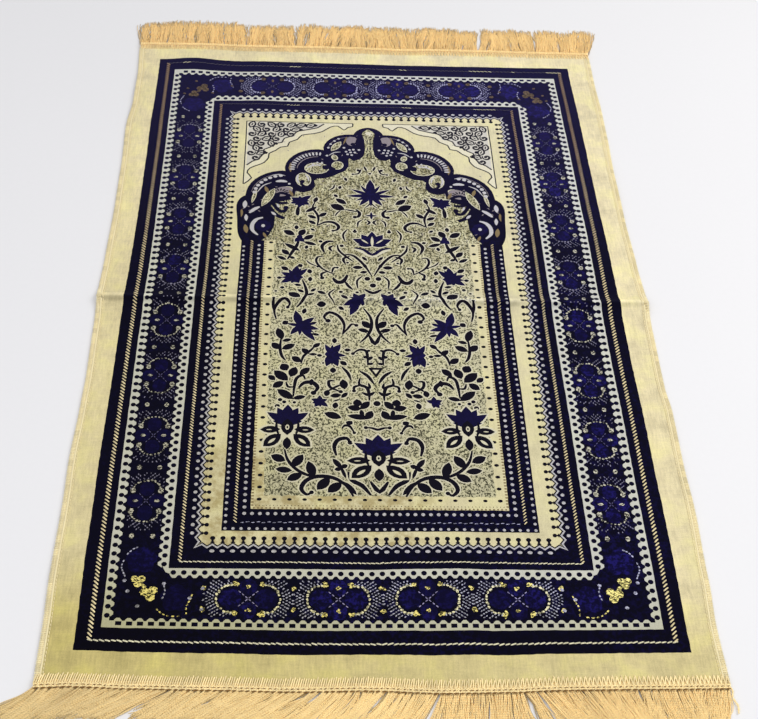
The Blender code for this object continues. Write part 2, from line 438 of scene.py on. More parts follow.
def zigzag_box(grow):
    """A rectangle whose sides zigzag, with the points of every second turn drawn inwards."""
    half_x, half_y = ZIGZAG
    outline = []
    corners = ((-1, -1), (1, -1), (1, 1), (-1, 1))
    for (ax, ay), (bx, by) in zip(corners, corners[1:] + corners[:1]):
        span = half_x if ay == by else half_y
        count = round(2 * span / LACE_PITCH)
        for i in range(2 * count):
            share = i / (2 * count)
            off = ZIGZAG_SWING if i % 2 == 0 else -ZIGZAG_SWING
            x = half_x * (ax + (bx - ax) * share)
            y = half_y * (ay + (by - ay) * share)
            out_x = ax if ax == bx else 0
            out_y = ay if ay == by else 0
            if i == 0:
                out_x, out_y = ax, ay
            outline.append((x + out_x * (off + grow), y + out_y * (off + grow)))
    return outline


def zigzag_turns():
    """The places of the zigzag's inward points, without those next to a corner."""
    half_x, half_y = ZIGZAG
    for span, along_x in ((half_x, True), (half_y, False)):
        count = round(2 * span / LACE_PITCH)
        for i in range(1, count - 1):
            yield from opposite(half_x, half_y, span * (2 * (i + 0.5) / count - 1), along_x)


def weave_border(loom):
    """The border, from the margin in to the zigzag."""
    loom.weave("navy", [ragged(box(*NAVY_BLOCK), 5, 0.30, 3)])
    loom.weave("lace", [ragged(box(*OUTER_LACE["flat"]), 5, 0.22, 4)])
    loom.weave("band", [box(*OUTER_LACE["line"])])
    tooth = with_mirror([(-4.6, 0.6), (-3.4, -1.6), (-1.5, -LACE_HUMP)])
    for x, y, turn in round_border(*OUTER_LACE["line"], 9, 9):
        loom.weave("lace", [placed(tooth, x, y, turn)])
    for x, y, turn in round_border(*OUTER_LACE["dots"], 12.6, 9):
        dot = rect(-3.2, -2.4, 3.2, 2.4) if turn in (0, 180) else disc(0, 0, LACE_DOT)
        loom.weave("navy", [placed(dot, x, y, turn)])
    weave_medallions(loom)
    half_x, half_y = INNER_LACE["line"]
    cut = INNER_CORNER_CUT
    corner = [
        (half_x - cut, half_y + 0.6), (half_x - 5, half_y - 3), (half_x - 2.5, half_y - 7.5),
        (half_x + 0.4, half_y - cut),
    ]
    upper = with_mirror(corner[::-1])
    loom.weave("lace", [upper + [(x, -y) for x, y in upper[::-1]]])
    shell = with_mirror([(-5, -0.6), (-3.8, 1.3), (-1.7, LACE_HUMP + 0.6)])
    for x, y, turn in round_border(half_x, half_y, cut, cut):
        loom.weave("lace", [placed(shell, x, y, turn)])
    for x, y, turn in round_border(*INNER_LACE["dots"], 10.5, 10.5):
        loom.weave("navy", [placed(disc(0, 0, LACE_DOT), x, y, turn)])
    loom.weave("navy", [ragged(box(*INNER_LACE["flat"]), 5, 0.22, 5)])
    weave_zigzag(loom)


def weave_zigzag(loom):
    """The inner edge of the border: white beads, a white and a dark zigzag, and dark clubs on the panel."""
    loom.weave("silver", [zigzag_box(ZIGZAG_WHITE / 2)])
    loom.weave("ink", [zigzag_box(-ZIGZAG_WHITE / 2)])
    loom.weave("panel", [zigzag_box(-ZIGZAG_WHITE / 2 - ZIGZAG_DARK)])
    stem_from = -ZIGZAG_SWING - ZIGZAG_WHITE / 2 - ZIGZAG_DARK * 0.5
    for x, y, turn in zigzag_turns():
        at_end = turn in (0, 180)
        reach = CLUB_REACH + 1.2 if at_end else CLUB_REACH
        half = 1.3 if at_end else 1
        size = CLUB_KNOB + 0.3 if at_end else CLUB_KNOB
        stem = with_mirror([(-2.9, stem_from), (-half, stem_from - 2), (-half, -reach)])
        knob = oval(0, -reach - 0.4, size, size * 0.95)
        loom.weave("ink", [placed(stem, x, y, turn), placed(knob, x, y, turn)])
        bead = oval(0, BEAD_OFF_ZIGZAG + 0.4, 2.9, 2.1) if at_end else disc(0, BEAD_OFF_ZIGZAG, 2.25)
        loom.weave("silver", [placed(bead, x, y, turn)])


# ---- the medallions of the main band

BAND_MIDDLE = (259.2, 457.2)
MEDALLION_PITCH = 94.6
MEDALLIONS_ACROSS = 4
MEDALLIONS_ALONG = 8
# The middle of a lobe, its half length and width, the reach of the floats round it and of those in the gaps,
# how much a medallion is squeezed across the band, and how many floats of a gap are left
END_LOBES, SIDE_LOBES = table("off long wide ring fans squeeze kept",
    (18.8, 12, 12, 14.4, (18.6, 21.8, 25, 28.2), 1, 0.94),
    (16.8, 10.4, 9.6, 11.6, (14.6, 17.2, 19.8, 22.4), 0.86, 0.62),
)
RING_HEIGHT = 16.8
BAND_END_Y = 400
RING_STEP = 16
FLOAT_SLANT = 16
MEDALLION_BLOBS = ((-14.2, -17.8), (-14.2, 17.8), (14.2, -17.8), (14.2, 17.8), (0, -13.8), (0, 13.8))
GAP_BLOB_Y = 13.2


def metals_at(y):
    """The yarns of the arcs and of the blobs, which are painted dimmer from the near end to the far one, as
    a painted reflection of the metal.
    """
    if y < -BAND_END_Y:
        return "bright_arc", "gold"
    if y > BAND_END_Y:
        return "far_arc", "amber"
    return ("pale_gold" if y < 0 else "side_arc"), "pale_gold"


def crumbs(draw, x, y, reach):
    """A knot of gold yarn: short floats lying across one another."""
    made = []
    for _ in range(6):
        turn, off = draw.uniform(0, math.tau), draw.uniform(0, reach * 0.72)
        long, wide = reach * draw.uniform(0.9, 1.5), reach * draw.uniform(0.5, 0.8)
        place = x + off * math.cos(turn), y + off * math.sin(turn)
        made.append(lozenge(*place, long, wide, draw.uniform(0, 180)))
    return made


def medallion(loom, x, y, turn, lobes):
    """Two round lobes and two small discs, with gold and silver floats round them."""
    arcs, blobs = metals_at(y)
    draw = random.Random(round(2 * x + 5 * y))
    put = loom.at(x, y, turn, (1, lobes["squeeze"]))
    put("indigo", in_mirror([oval(0, 14.5, 9.4, 10.5, sides=12)], ("y",)))
    put("indigo", in_mirror([oval(lobes["off"], 0, lobes["long"], lobes["wide"], sides=14)]))
    dashes = []
    for side in (-1, 1):
        for step in range(-6, 7):
            u, v = towards(step * RING_STEP + (0 if side > 0 else 180))
            px, py = side * lobes["off"] + lobes["ring"] * u, RING_HEIGHT * v
            tilt = math.degrees(math.atan2(RING_HEIGHT * u, -lobes["ring"] * v))
            size = draw.uniform(0.55, 1) if lobes is SIDE_LOBES else draw.uniform(0.8, 1.05)
            px, py = px + draw.uniform(-0.6, 0.6), py + draw.uniform(-0.6, 0.6)
            tilt = tilt - FLOAT_SLANT * side + draw.uniform(-24, 24)
            dashes.append(lozenge(px, py, 4.6 * size, 2.6 * size, tilt))
    put(arcs, dashes)
    lines = [
        lozenge(side * 13 * share, up * 12 * share, 3.6, 1.1, side * up * 42)
        for side in (-1, 1) for up in (-1, 1) for share in (0.14, 0.42, 0.70)
    ]
    # the thin lines are painted dimmer away from the near end too, as a painted reflection
    put("lilac" if y < -BAND_END_Y else "lilac_dim", lines)
    if y < -BAND_END_Y:
        for across, along in MEDALLION_BLOBS:
            put(blobs, crumbs(draw, across, along, 4 if across else 3))
            pip = across + draw.uniform(-1, 1), along + draw.uniform(-1, 1)
            put("gold_dark", [lozenge(*pip, 2.2, 1, 40)])
        return
    put(blobs, in_mirror([oval(14.2, 17.8, 4, 3.6, 35, 7)], ("x", "y")))
    put("gold_dark", in_mirror([oval(14.8, 17.4, 1.2, 0.9, 0, 5)], ("x", "y")))
    put(blobs, in_mirror([lozenge(0, 13.8, 7.6, 3.6, 90)], ("y",)))


def medallion_gap(loom, x, y, turn, lobes, sides):
    """What lies between two medallions: a pair of gold blobs and curved columns of silver floats."""
    _, blobs = metals_at(y)
    put = loom.at(x, y, turn, (1, lobes["squeeze"]))
    draw = random.Random(round(x + 3 * y))
    for along in (-GAP_BLOB_Y, GAP_BLOB_Y):
        put(blobs, crumbs(draw, 0, along, 3.5) if y < -BAND_END_Y else [oval(0, along, 3.5, 3.2, 0, 8)])
        put("gold_dark", [oval(0.3, along, 1, 0.8, 0, 5)])
    fans = []
    for side in sides:
        lobe = side * (MEDALLION_PITCH / 2 - lobes["off"])
        for ring, radius in enumerate(lobes["fans"]):
            for step in range(-8, 9):
                angle = (step + 0.5 * (ring % 2)) * 215 / radius
                u, v = towards(angle)
                px, py = lobe - side * radius * u, radius * v
                if lobes is SIDE_LOBES:
                    py = py * RING_HEIGHT / lobes["ring"]
                kept = draw.random() < lobes["kept"]
                off_blob = abs(px) > 5.6 or abs(abs(py) - GAP_BLOB_Y) > 5.4
                if kept and off_blob and abs(angle) < 100 and abs(py) < 23 and side * px > -1.5:
                    turn_by = -side * (angle * 0.4 + 20 * (1 if py > 0 else -1)) + draw.uniform(-26, 26)
                    fans.append(lozenge(px, py, draw.uniform(2, 3.4), draw.uniform(1, 1.6), turn_by))
    # the floats too are painted dimmer away from the near end, as a painted reflection
    put("floss" if y < -BAND_END_Y else "far_arc" if y > BAND_END_Y else "side_arc", fans)


# Dashed lines round the leaves of a near corner
CORNER_THREADS = (
    ("floss", ((-275, -409), (-277.5, -418), (-275, -425), (-272.5, -431))),
    ("floss", ((-262, -393), (-268, -396.5), (-273, -403))),
    ("gold", ((-237, -470), (-231, -476), (-222, -479.5), (-211, -478.5))),
    ("gold", ((-200.5, -452), (-202.5, -460), (-206, -467), (-205, -478.5))),
    ("floss", ((-231, -441), (-229, -450), (-232, -459))),
)


def dashes_along(line, length, width):
    """Short floats of yarn one after the other along a line."""
    made = []
    for (ax, ay), (bx, by) in zip(line, line[1:]):
        span = math.hypot(bx - ax, by - ay)
        count = max(1, round(span / (length * 1.3)))
        for i in range(count):
            share = (i + 0.5) / count
            turn = math.degrees(math.atan2(by - ay, bx - ax))
            made.append(lozenge(ax + (bx - ax) * share, ay + (by - ay) * share, length, width, turn))
    return made


def weave_corners(loom, near, far, outlines):
    """The outlines of the near left corner in all four corners, in one yarn at each end."""
    outlines = in_mirror(outlines)
    loom.weave(near, outlines)
    loom.weave(far, [[(x, -y) for x, y in outline] for outline in outlines])


def lobed(x, y, reach, size, turn, count, sides):
    """Round lobes in a ring about a place."""
    ways = [towards(turn + 360 / count * lobe) for lobe in range(count)]
    return [disc(x + reach * u, y + reach * v, size, sides) for u, v in ways]


CORNER_DOTS = (
    (-268.3, -449.2), (-256.7, -467.5), (-231, -439.5), (-272.5, -436), (-203, -457), (-190, -445),
    (-190, -470.5),
)
CORNER_PIPS = (
    (-258.5, -436), (-255.5, -433), (-262, -435), (-245.5, -451.5), (-242, -449), (-249.5, -453.5),
    (-245, -456.5),
)


def band_corner(loom):
    """Two scalloped leaves and two gold trefoils on the diagonal of each corner of the band."""
    leaves = lobed(-257, -410, 8.5, 9, 90, 5, 10) + lobed(-217, -457.2, 8.5, 9, 90, 5, 10)
    weave_corners(loom, "indigo", "indigo", leaves)
    # the far corners take dimmer metallic yarns, as a painted reflection
    for yarn, points in CORNER_THREADS:
        weave_corners(loom, yarn, "far_arc", dashes_along(smooth(points, 2), 3.4, 1.6))
    weave_corners(loom, "floss", "amber", [oval(x, y, 2.4, 2, 30, 6) for x, y in CORNER_DOTS])
    trefoils = lobed(-258.5, -436, 4.3, 4.3, 30, 3, 7) + lobed(-245.5, -451.5, 5.2, 5.2, 45, 3, 7)
    weave_corners(loom, "gold", "amber", trefoils + [leaf(-255, -440, -249, -446, 4.4)])
    weave_corners(loom, "gold_dark", "gold_dark", [oval(x, y, 1.2, 0.9, 40, 5) for x, y in CORNER_PIPS])


def weave_medallions(loom):
    """The medallions along the ends and then the sides, each row followed by what lies between them."""
    half_across, half_along = BAND_MIDDLE
    for count, turn, lobes in ((MEDALLIONS_ACROSS, 0, END_LOBES), (MEDALLIONS_ALONG, 90, SIDE_LOBES)):
        for gaps in (0, 1):
            for i in range(count + gaps):
                place = (i - (count - 1 + gaps) / 2) * MEDALLION_PITCH
                for side in (-1, 1):
                    x, y = (side * half_across, place) if turn else (place, side * half_along)
                    if gaps:
                        lit = (1,) if i == 0 else (-1,) if i == count else (-1, 1)
                        medallion_gap(loom, x, y, turn, lobes, lit)
                    else:
                        medallion(loom, x, y, turn, lobes)
    band_corner(loom)


# ---- the niche: columns, field and arch

COLUMN_OUTER = (174.2, -370.9)
COLUMN_INNER = (143.4, -341.1)
FOOT_Y = 110.5
BEAD_PITCH = 8.7
BEAD_LINES = ((170.4, -367.8, 1.9), (150.3, -347.5, 2.25))
DOT_LINE = 134.6
DOT_LOW = -327.7
DOT_PITCH = 17.2
DOT_PITCH_ACROSS = 16.8
DOT_ROWS = 26
TOOTH_PITCH = 4.3
TOOTH_ROWS = 104
GROUND_HALF = 129.9
GROUND_LOW = -322.2
THREAD_Y = -359.2

ARCH_STROKE = 5.4
# Each lobe of the arch from its outer valley over its crown to its inner valley
ARCH_LOBES = (
    ((-169.5, 198), (-152.5, 240), (-117, 253)), ((-117, 253), (-105, 290), (-63.5, 302)),
    ((-63.5, 302), (-51, 331.5), (-19.5, 338.5)), ((-19.5, 338.5), (-14, 350.5), (0, 357.5)),
)
ARCH_FOOT = ((-172, 106), (-177.5, 122), (-179.5, 151), (-181.5, 178), (-177, 192), (-169.5, 198))


def lobe_points(lobe, inwards=0, steps=9):
    """Points along a lobe of the arch, moved towards its centre."""
    x, y, radius = circle_through(*lobe)
    start = math.degrees(math.atan2(lobe[0][1] - y, lobe[0][0] - x))
    end = math.degrees(math.atan2(lobe[2][1] - y, lobe[2][0] - x))
    if end > start:
        start += 360
    return arc(x, y, radius - inwards, start, end, steps)


def arch_line():
    """The left half of the arch's outline, from its foot to its top."""
    line = smooth(ARCH_FOOT)
    for lobe in ARCH_LOBES:
        line += lobe_points(lobe)[1:]
    return line


def framed(x, low, step, amount, seed, high=FOOT_Y):
    """The rectangle up from a low line, as far out on both sides, with ragged edges."""
    return ragged(rect(-x, low, x, high), step, amount, seed)


def weave_niche(loom):
    """The columns with their beads, the ground of the field and the rows of dots and teeth round it."""
    loom.weave("navy", [framed(*COLUMN_OUTER, 5, 0.22, 6)])
    loom.weave("panel", [framed(*COLUMN_INNER, 4, 0.40, 7)])
    loom.weave("ground", [with_mirror(arch_line(), 1)])
    loom.weave("ground", [framed(GROUND_HALF, GROUND_LOW, 4, 1.3, 8, FOOT_Y + 40)])
    beads = []
    for half, low, size in BEAD_LINES:
        rows = [low + i * BEAD_PITCH for i in range(int((FOOT_Y - low) / BEAD_PITCH))]
        beads += [disc(x, y, size, 7) for y in rows for x in (-half, half)]
        beads += [disc(x, low, size, 7) for x in spaced(half, round(2 * half / BEAD_PITCH))[1:-1]]
    loom.weave("silver", beads)
    dots = []
    for i in range(DOT_ROWS):
        dots += in_mirror([oval(-DOT_LINE, DOT_LOW + i * DOT_PITCH, 3, 2.3, 0, 7)])
    across = spaced(DOT_LINE, round(2 * DOT_LINE / DOT_PITCH_ACROSS))[1:-1]
    loom.weave("ink", dots + [oval(x, DOT_LOW, 2.7, 2, 0, 7) for x in across])
    loom.weave("olive", [lozenge(x, -336.4, 1.8, 0.8, 90) for x in spaced(138, 70)])
    teeth = [lozenge(x, -336 + TOOTH_PITCH * i, 3.6, 2, 0) for i in range(TOOTH_ROWS) for x in (-142, 142)]
    loom.weave("tan", teeth + [lozenge(x, -339.8, 2.4, 2.2, 0) for x in spaced(140, 62)])
    threads = []
    for i, x in enumerate(spaced(152, 52)):
        threads.append(lozenge(x, THREAD_Y + (0.5 if i % 2 else -0.4), 4.6, 0.9, 6))
    loom.weave("floss", threads)


# The arch band's inner rim, from under its top down to its foot
ARCH_INNER = (
    (-9.5, 344), (-6.5, 330), (-5.5, 308), (-8, 292), (-14.5, 283.5), (-23, 281.5), (-29, 286), (-30, 281),
    (-29.5, 268), (-35, 257), (-44, 251), (-52, 245), (-62, 240), (-74, 238.5), (-78.5, 234), (-76.5, 222),
    (-82, 212), (-93, 207.5), (-104, 210.5), (-105, 200), (-111, 191.5), (-121, 188), (-130, 186),
    (-137, 178), (-132, 168), (-131, 152), (-132, 134), (-139, 116), (-149, 104),
)
# Oval holes in the arch band, where the field shows through: x, y, half width, half height, turn
ARCH_HOLES = (
    (-75, 262, 17.6, 12.8, 0), (-45.5, 269.5, 8.6, 9.6, -12), (-49.5, 287.5, 4.6, 6.4, 20),
    (-119, 213, 11.5, 6.5, 20), (-93.5, 236, 11, 15.4, 6),
)
# What is dark inside the holes: its line, width and the radius of the blob at its end
ARCH_CURLS = (
    (((-50, 250), (-52, 262), (-62, 264.5)), 6.6, 5.4), (((-16.5, 331), (-18, 322), (-23, 319)), 3.6, 3.6),
    (((-84.5, 222), (-90, 220.5), (-96, 225.5), (-95, 231.5)), 4.4, 3.8),
    (((-108, 194), (-116, 203), (-125, 205.5), (-130, 201)), 5.4, 4.8),
)
# Pale leaves in the arch band: from x, y, to x, y, width
ARCH_LEAVES = ((-40, 325, -54.5, 302.5, 11), (-132.5, 216, -150, 176.5, 12), (-158, 212, -163.5, 183, 5.4))
ARCH_DROPS = (
    (-172.5, 188.5, -173, 171.5, 6.4), (-170.5, 159.5, -169.5, 145, 4.8),
    (-136.5, 165.5, -129.5, 157.5, 4.2), (-129, 183, -126, 174, 3.2),
)
ARCH_CRESCENTS = (
    (((-166, 162), (-160, 169.5), (-152.5, 175.5)), 5.4),
    (((-132, 230.5), (-124, 232), (-116, 230.5)), 5.2),
    (((-147, 153), (-155.5, 149), (-161, 139), (-160.5, 126.5), (-153, 117)), 5.6),
    (((-100.5, 247), (-102, 237), (-99, 227)), 2.8), (((-91, 248), (-87, 241), (-86, 233)), 2.6),
    (((-89, 262.5), (-80, 268.5), (-68, 270)), 2.6), (((-140, 243), (-129, 246.5), (-119, 244)), 1.6),
    (((-58, 292), (-50, 299), (-41, 300.5)), 1.8), (((-157, 206), (-149, 221), (-138, 228)), 1.8),
)
# Tan shading in the arch band, laid out as the leaves are
ARCH_TANS = (
    (-113.8, 279, -111.5, 252, 5.2), (-146.5, 220, -141.5, 205, 5.2), (-176.5, 170, -177.5, 152, 5),
    (-171, 138.5, -168, 120, 6.4), (-113, 213, -107, 198, 4.6), (-146, 122.5, -141.5, 111, 4),
    (-31, 338, -37, 318, 2.6),
)
ARCH_CLAWS = (
    (((-138, 190), (-131, 176), (-124.5, 167), (-117.5, 168), (-116.5, 174.5)), 5.8, 3.8),
    (((-138, 172), (-129, 158.5), (-118, 152)), 6.4, 0),
    (((-134, 188), (-125, 184), (-116.5, 184.5)), 5.4, 2.6),
)
SMALL_PEARLS = (
    (-43.5, 331.5), (-49.5, 326), (-55, 318.5), (-58.5, 310), (-22.5, 306.5), (-28, 305.5), (-33, 301.5),
    (-26.5, 300), (-20.5, 300), (-31, 295.5), (-25, 294), (-36, 310.5), (-60.5, 291.5), (-113, 226),
    (-14.5, 306),
)
FAN_PEARLS = ((-74, 275), (-80.5, 271), (-67.5, 275), (-71, 269))
ARCH_STEM = [
    (-8.6, 346), (-6, 351), (0, 353), (6, 351), (8.6, 346), (5.4, 330), (4.4, 308), (6, 292), (0, 284),
    (-6, 292), (-4.4, 308), (-5.4, 330),
]
DISC = (-146.5, 136)
RAYS_AT = (-125, 204)


def weave_arch(loom):
    """The scalloped arch: a dark band with a thick rim, rows of pearls, pale holes and curls."""
    left = arch_line()
    band = left + list(ARCH_INNER)
    loom.both("navy", [band])
    draw = random.Random(71)
    flecks = []
    while len(flecks) < 64:
        x, y, turn = draw.uniform(-178, -8), draw.uniform(108, 345), math.radians(draw.uniform(0, 180))
        u, v = 3.2 * math.cos(turn), 3.2 * math.sin(turn)
        corners = ((x - u, y - v), (x + u, y + v), (x - v, y + u), (x + v, y - u))
        if all(holds(band, Vector(corner)) for corner in corners):
            u, v = u * 0.7, v * 0.7
            flecks.append(leaf(x - u, y - v, x + u, y + v, draw.uniform(1, 1.9), 0, 3))
    loom.both("dusk", flecks)
    loom.both("dusk", [
        ribbon(lobe_points(lobe, 4.4)[1:-1], 0.8, (0.6, 0.6)) for lobe in ARCH_LOBES[:3]
    ])
    hooks = ARCH_CLAWS + ARCH_CURLS
    for inset, yarn in ((0, "halo"), (1.2, "ground")):
        holes = [oval(x, y, rx - inset, ry - inset, turn, 14) for x, y, rx, ry, turn in ARCH_HOLES]
        loom.both(yarn, holes)
    loom.both("dusk", [oval(-24.5, 326.5, 8.4, 11.4, 0, 12), oval(-121.5, 209, 14, 10, 25, 14)])
    rays = []
    for step in range(7):
        u, v = towards(20 + 22 * step)
        x, y = RAYS_AT
        rays.append(leaf(x + 5.5 * u, y + 5.5 * v, x + 15.5 * u, y + 12.5 * v, 2.2, 0, 4))
    loom.both("ink", rays)
    loom.both("navy", [ribbon(smooth(points), width, (0.8, 0.8)) for points, width, _ in hooks])
    loom.both("navy", [disc(*points[-1], blob, 10) for points, _, blob in hooks if blob])
    for inset, yarn in ((0, "halo"), (1.2, "ground")):
        loom.both(yarn, [leaf(*row, -inset, 6) for row in ARCH_LEAVES])
    loom.both("pearl", [leaf(*row, 0, 6) for row in ARCH_DROPS])
    loom.both("pearl", [ribbon(smooth(points), width, (0.4, 0.4)) for points, width in ARCH_CRESCENTS])
    loom.both("tan", [leaf(*row) for row in ARCH_TANS])
    pearls = [disc(x, y, 2, 7) for x, y in SMALL_PEARLS]
    pearls += [oval(x, y, 1.6, 2.2, 0, 6) for x, y in FAN_PEARLS]
    loom.both("indigo_field", [oval(*DISC, 10.6, 11.2, 0, 14)])
    pearls.append(oval(*DISC, 2.6, 3.2, 0, 8))
    for lobe, depth, count, long, wide in zip(ARCH_LOBES, (8.6, 8), (9, 14), (2.9, 4), (3.1, 1.5)):
        x, y, _ = circle_through(*lobe)
        for px, py in lobe_points(lobe, depth, count)[1:-1]:
            pearls.append(oval(px, py, long, wide, math.degrees(math.atan2(py - y, px - x)), 8))
    loom.both("pearl", pearls)
    loom.both("dusk", [ribbon(lobe_points(ARCH_LOBES[1], 14.6)[1:-1], 1.5, (0.5, 0.5))])
    loom.weave("ground", [ARCH_STEM])
    loom.weave("halo", [oval(0, 345.5, 4.6, 4.4, 0, 9)])
    loom.both("navy", [leaf(-1.8, 331, -2.2, 318, 1.4), leaf(-2.4, 314, -1.6, 303, 1.4)])
    loom.both("ink", [leaf(-1.5, 300, -3.5, 288, 1.6)])
    loom.weave("navy", [ribbon(with_mirror(left, 1), ARCH_STROKE, (1, 1))])


# ---- the corner panels above the arch

SPANDREL_CORNER = (-177, 369.5)
SPANDREL_EDGE = (
    (-22, 369.5), (-22.5, 362), (-29, 360), (-35.5, 353), (-44, 362.5), (-55, 359.5), (-66.5, 348.5),
    (-80, 342.5), (-96.5, 338.5), (-103, 328), (-114.5, 321), (-117, 311.5), (-127, 309), (-134, 301),
    (-143, 294), (-143.5, 284.5), (-149.5, 273), (-158, 267), (-169, 259.5), (-172.5, 249), (-166, 237.5),
    (-176.5, 224),
)
SPANDREL_INNER = (
    (-64, 366.8), (-74, 357), (-88, 352), (-103, 347.5), (-111, 336), (-122, 330), (-125.5, 320),
    (-135, 317.5), (-142, 308.5), (-150.5, 303), (-151.5, 292), (-158, 280.5), (-166.5, 275), (-174, 266.5),
)
LOOP_PITCH = (14.2, 11.2)
LOOP_SIZE = (17.6, 12.2)
SCROLL_SIZE = 6.7


def spandrel_loops(panel):
    """Lace in staggered rows across a corner panel: x, y, direction and whether it is a scroll or a loop."""
    draw = random.Random(61)
    for row in range(12):
        for column in range(11):
            x = SPANDREL_CORNER[0] + 8 + LOOP_PITCH[0] * (column + 0.5 * (row % 2))
            y = SPANDREL_CORNER[1] - 7.4 - LOOP_PITCH[1] * row
            turn = 70 + 55 * math.sin(0.9 * column + 1.7 * row) + draw.uniform(-22, 22)
            if holds(panel, Vector((x + 1.8, y - 1.8))):
                yield x, y, turn, (column + row // 2) % 2 > 0 and column < 5


def scroll(x, y, turn, hand):
    """The line of a spiral, from its rim to near its middle."""
    line = []
    for step in range(12):
        angle, reach = math.radians(turn + hand * 34 * step), SCROLL_SIZE * (1 - 0.068 * step)
        line.append((x + reach * math.cos(angle), y + reach * math.sin(angle)))
    return line


def weave_spandrels(loom):
    """The corner panels: overlapping loops of lace inside a pale frame with a stepped edge."""
    corner = SPANDREL_CORNER
    edge = smooth(SPANDREL_EDGE, 2)
    panel = [(corner[0] + 2.6, corner[1] - 2.6), *SPANDREL_INNER]
    loom.both("frame", [[corner] + edge])
    loom.both("spandrel", [panel])
    for x, y, turn, scrolled in spandrel_loops(panel):
        if scrolled:
            line = scroll(x, y, turn, 1 if turn > 70 else -1)
            loom.both("spandrel", [disc(x, y, SCROLL_SIZE + 0.4, 12)])
            loom.both("lace_line", [ribbon(line, 3.4, (0.4, 1)), disc(*line[-1], 2.6, 7)])
            continue
        u, v = (part * LOOP_SIZE[0] / 2 for part in towards(turn))
        for spread, yarn in ((0, "lace_line"), (-2.9, "spandrel"), (-5, "lace_line")):
            loom.both(yarn, [leaf(x - u, y - v, x + u, y + v, LOOP_SIZE[1], spread, 4)])
        if x - corner[0] + corner[1] - y > 40:
            loom.both("ink", [oval(x + LOOP_PITCH[0] / 2, y, 3.4, 2.6, turn, 6)])
    loom.both("lace_line", [
        rect(-178, 224, -176.4, 370.3), rect(-177, 368.9, -22, 370.3),
        ribbon(edge, 2, (1, 1)), ribbon(SPANDREL_INNER, 2.3, (1, 1)),
    ])


# ---- the flowers of the field

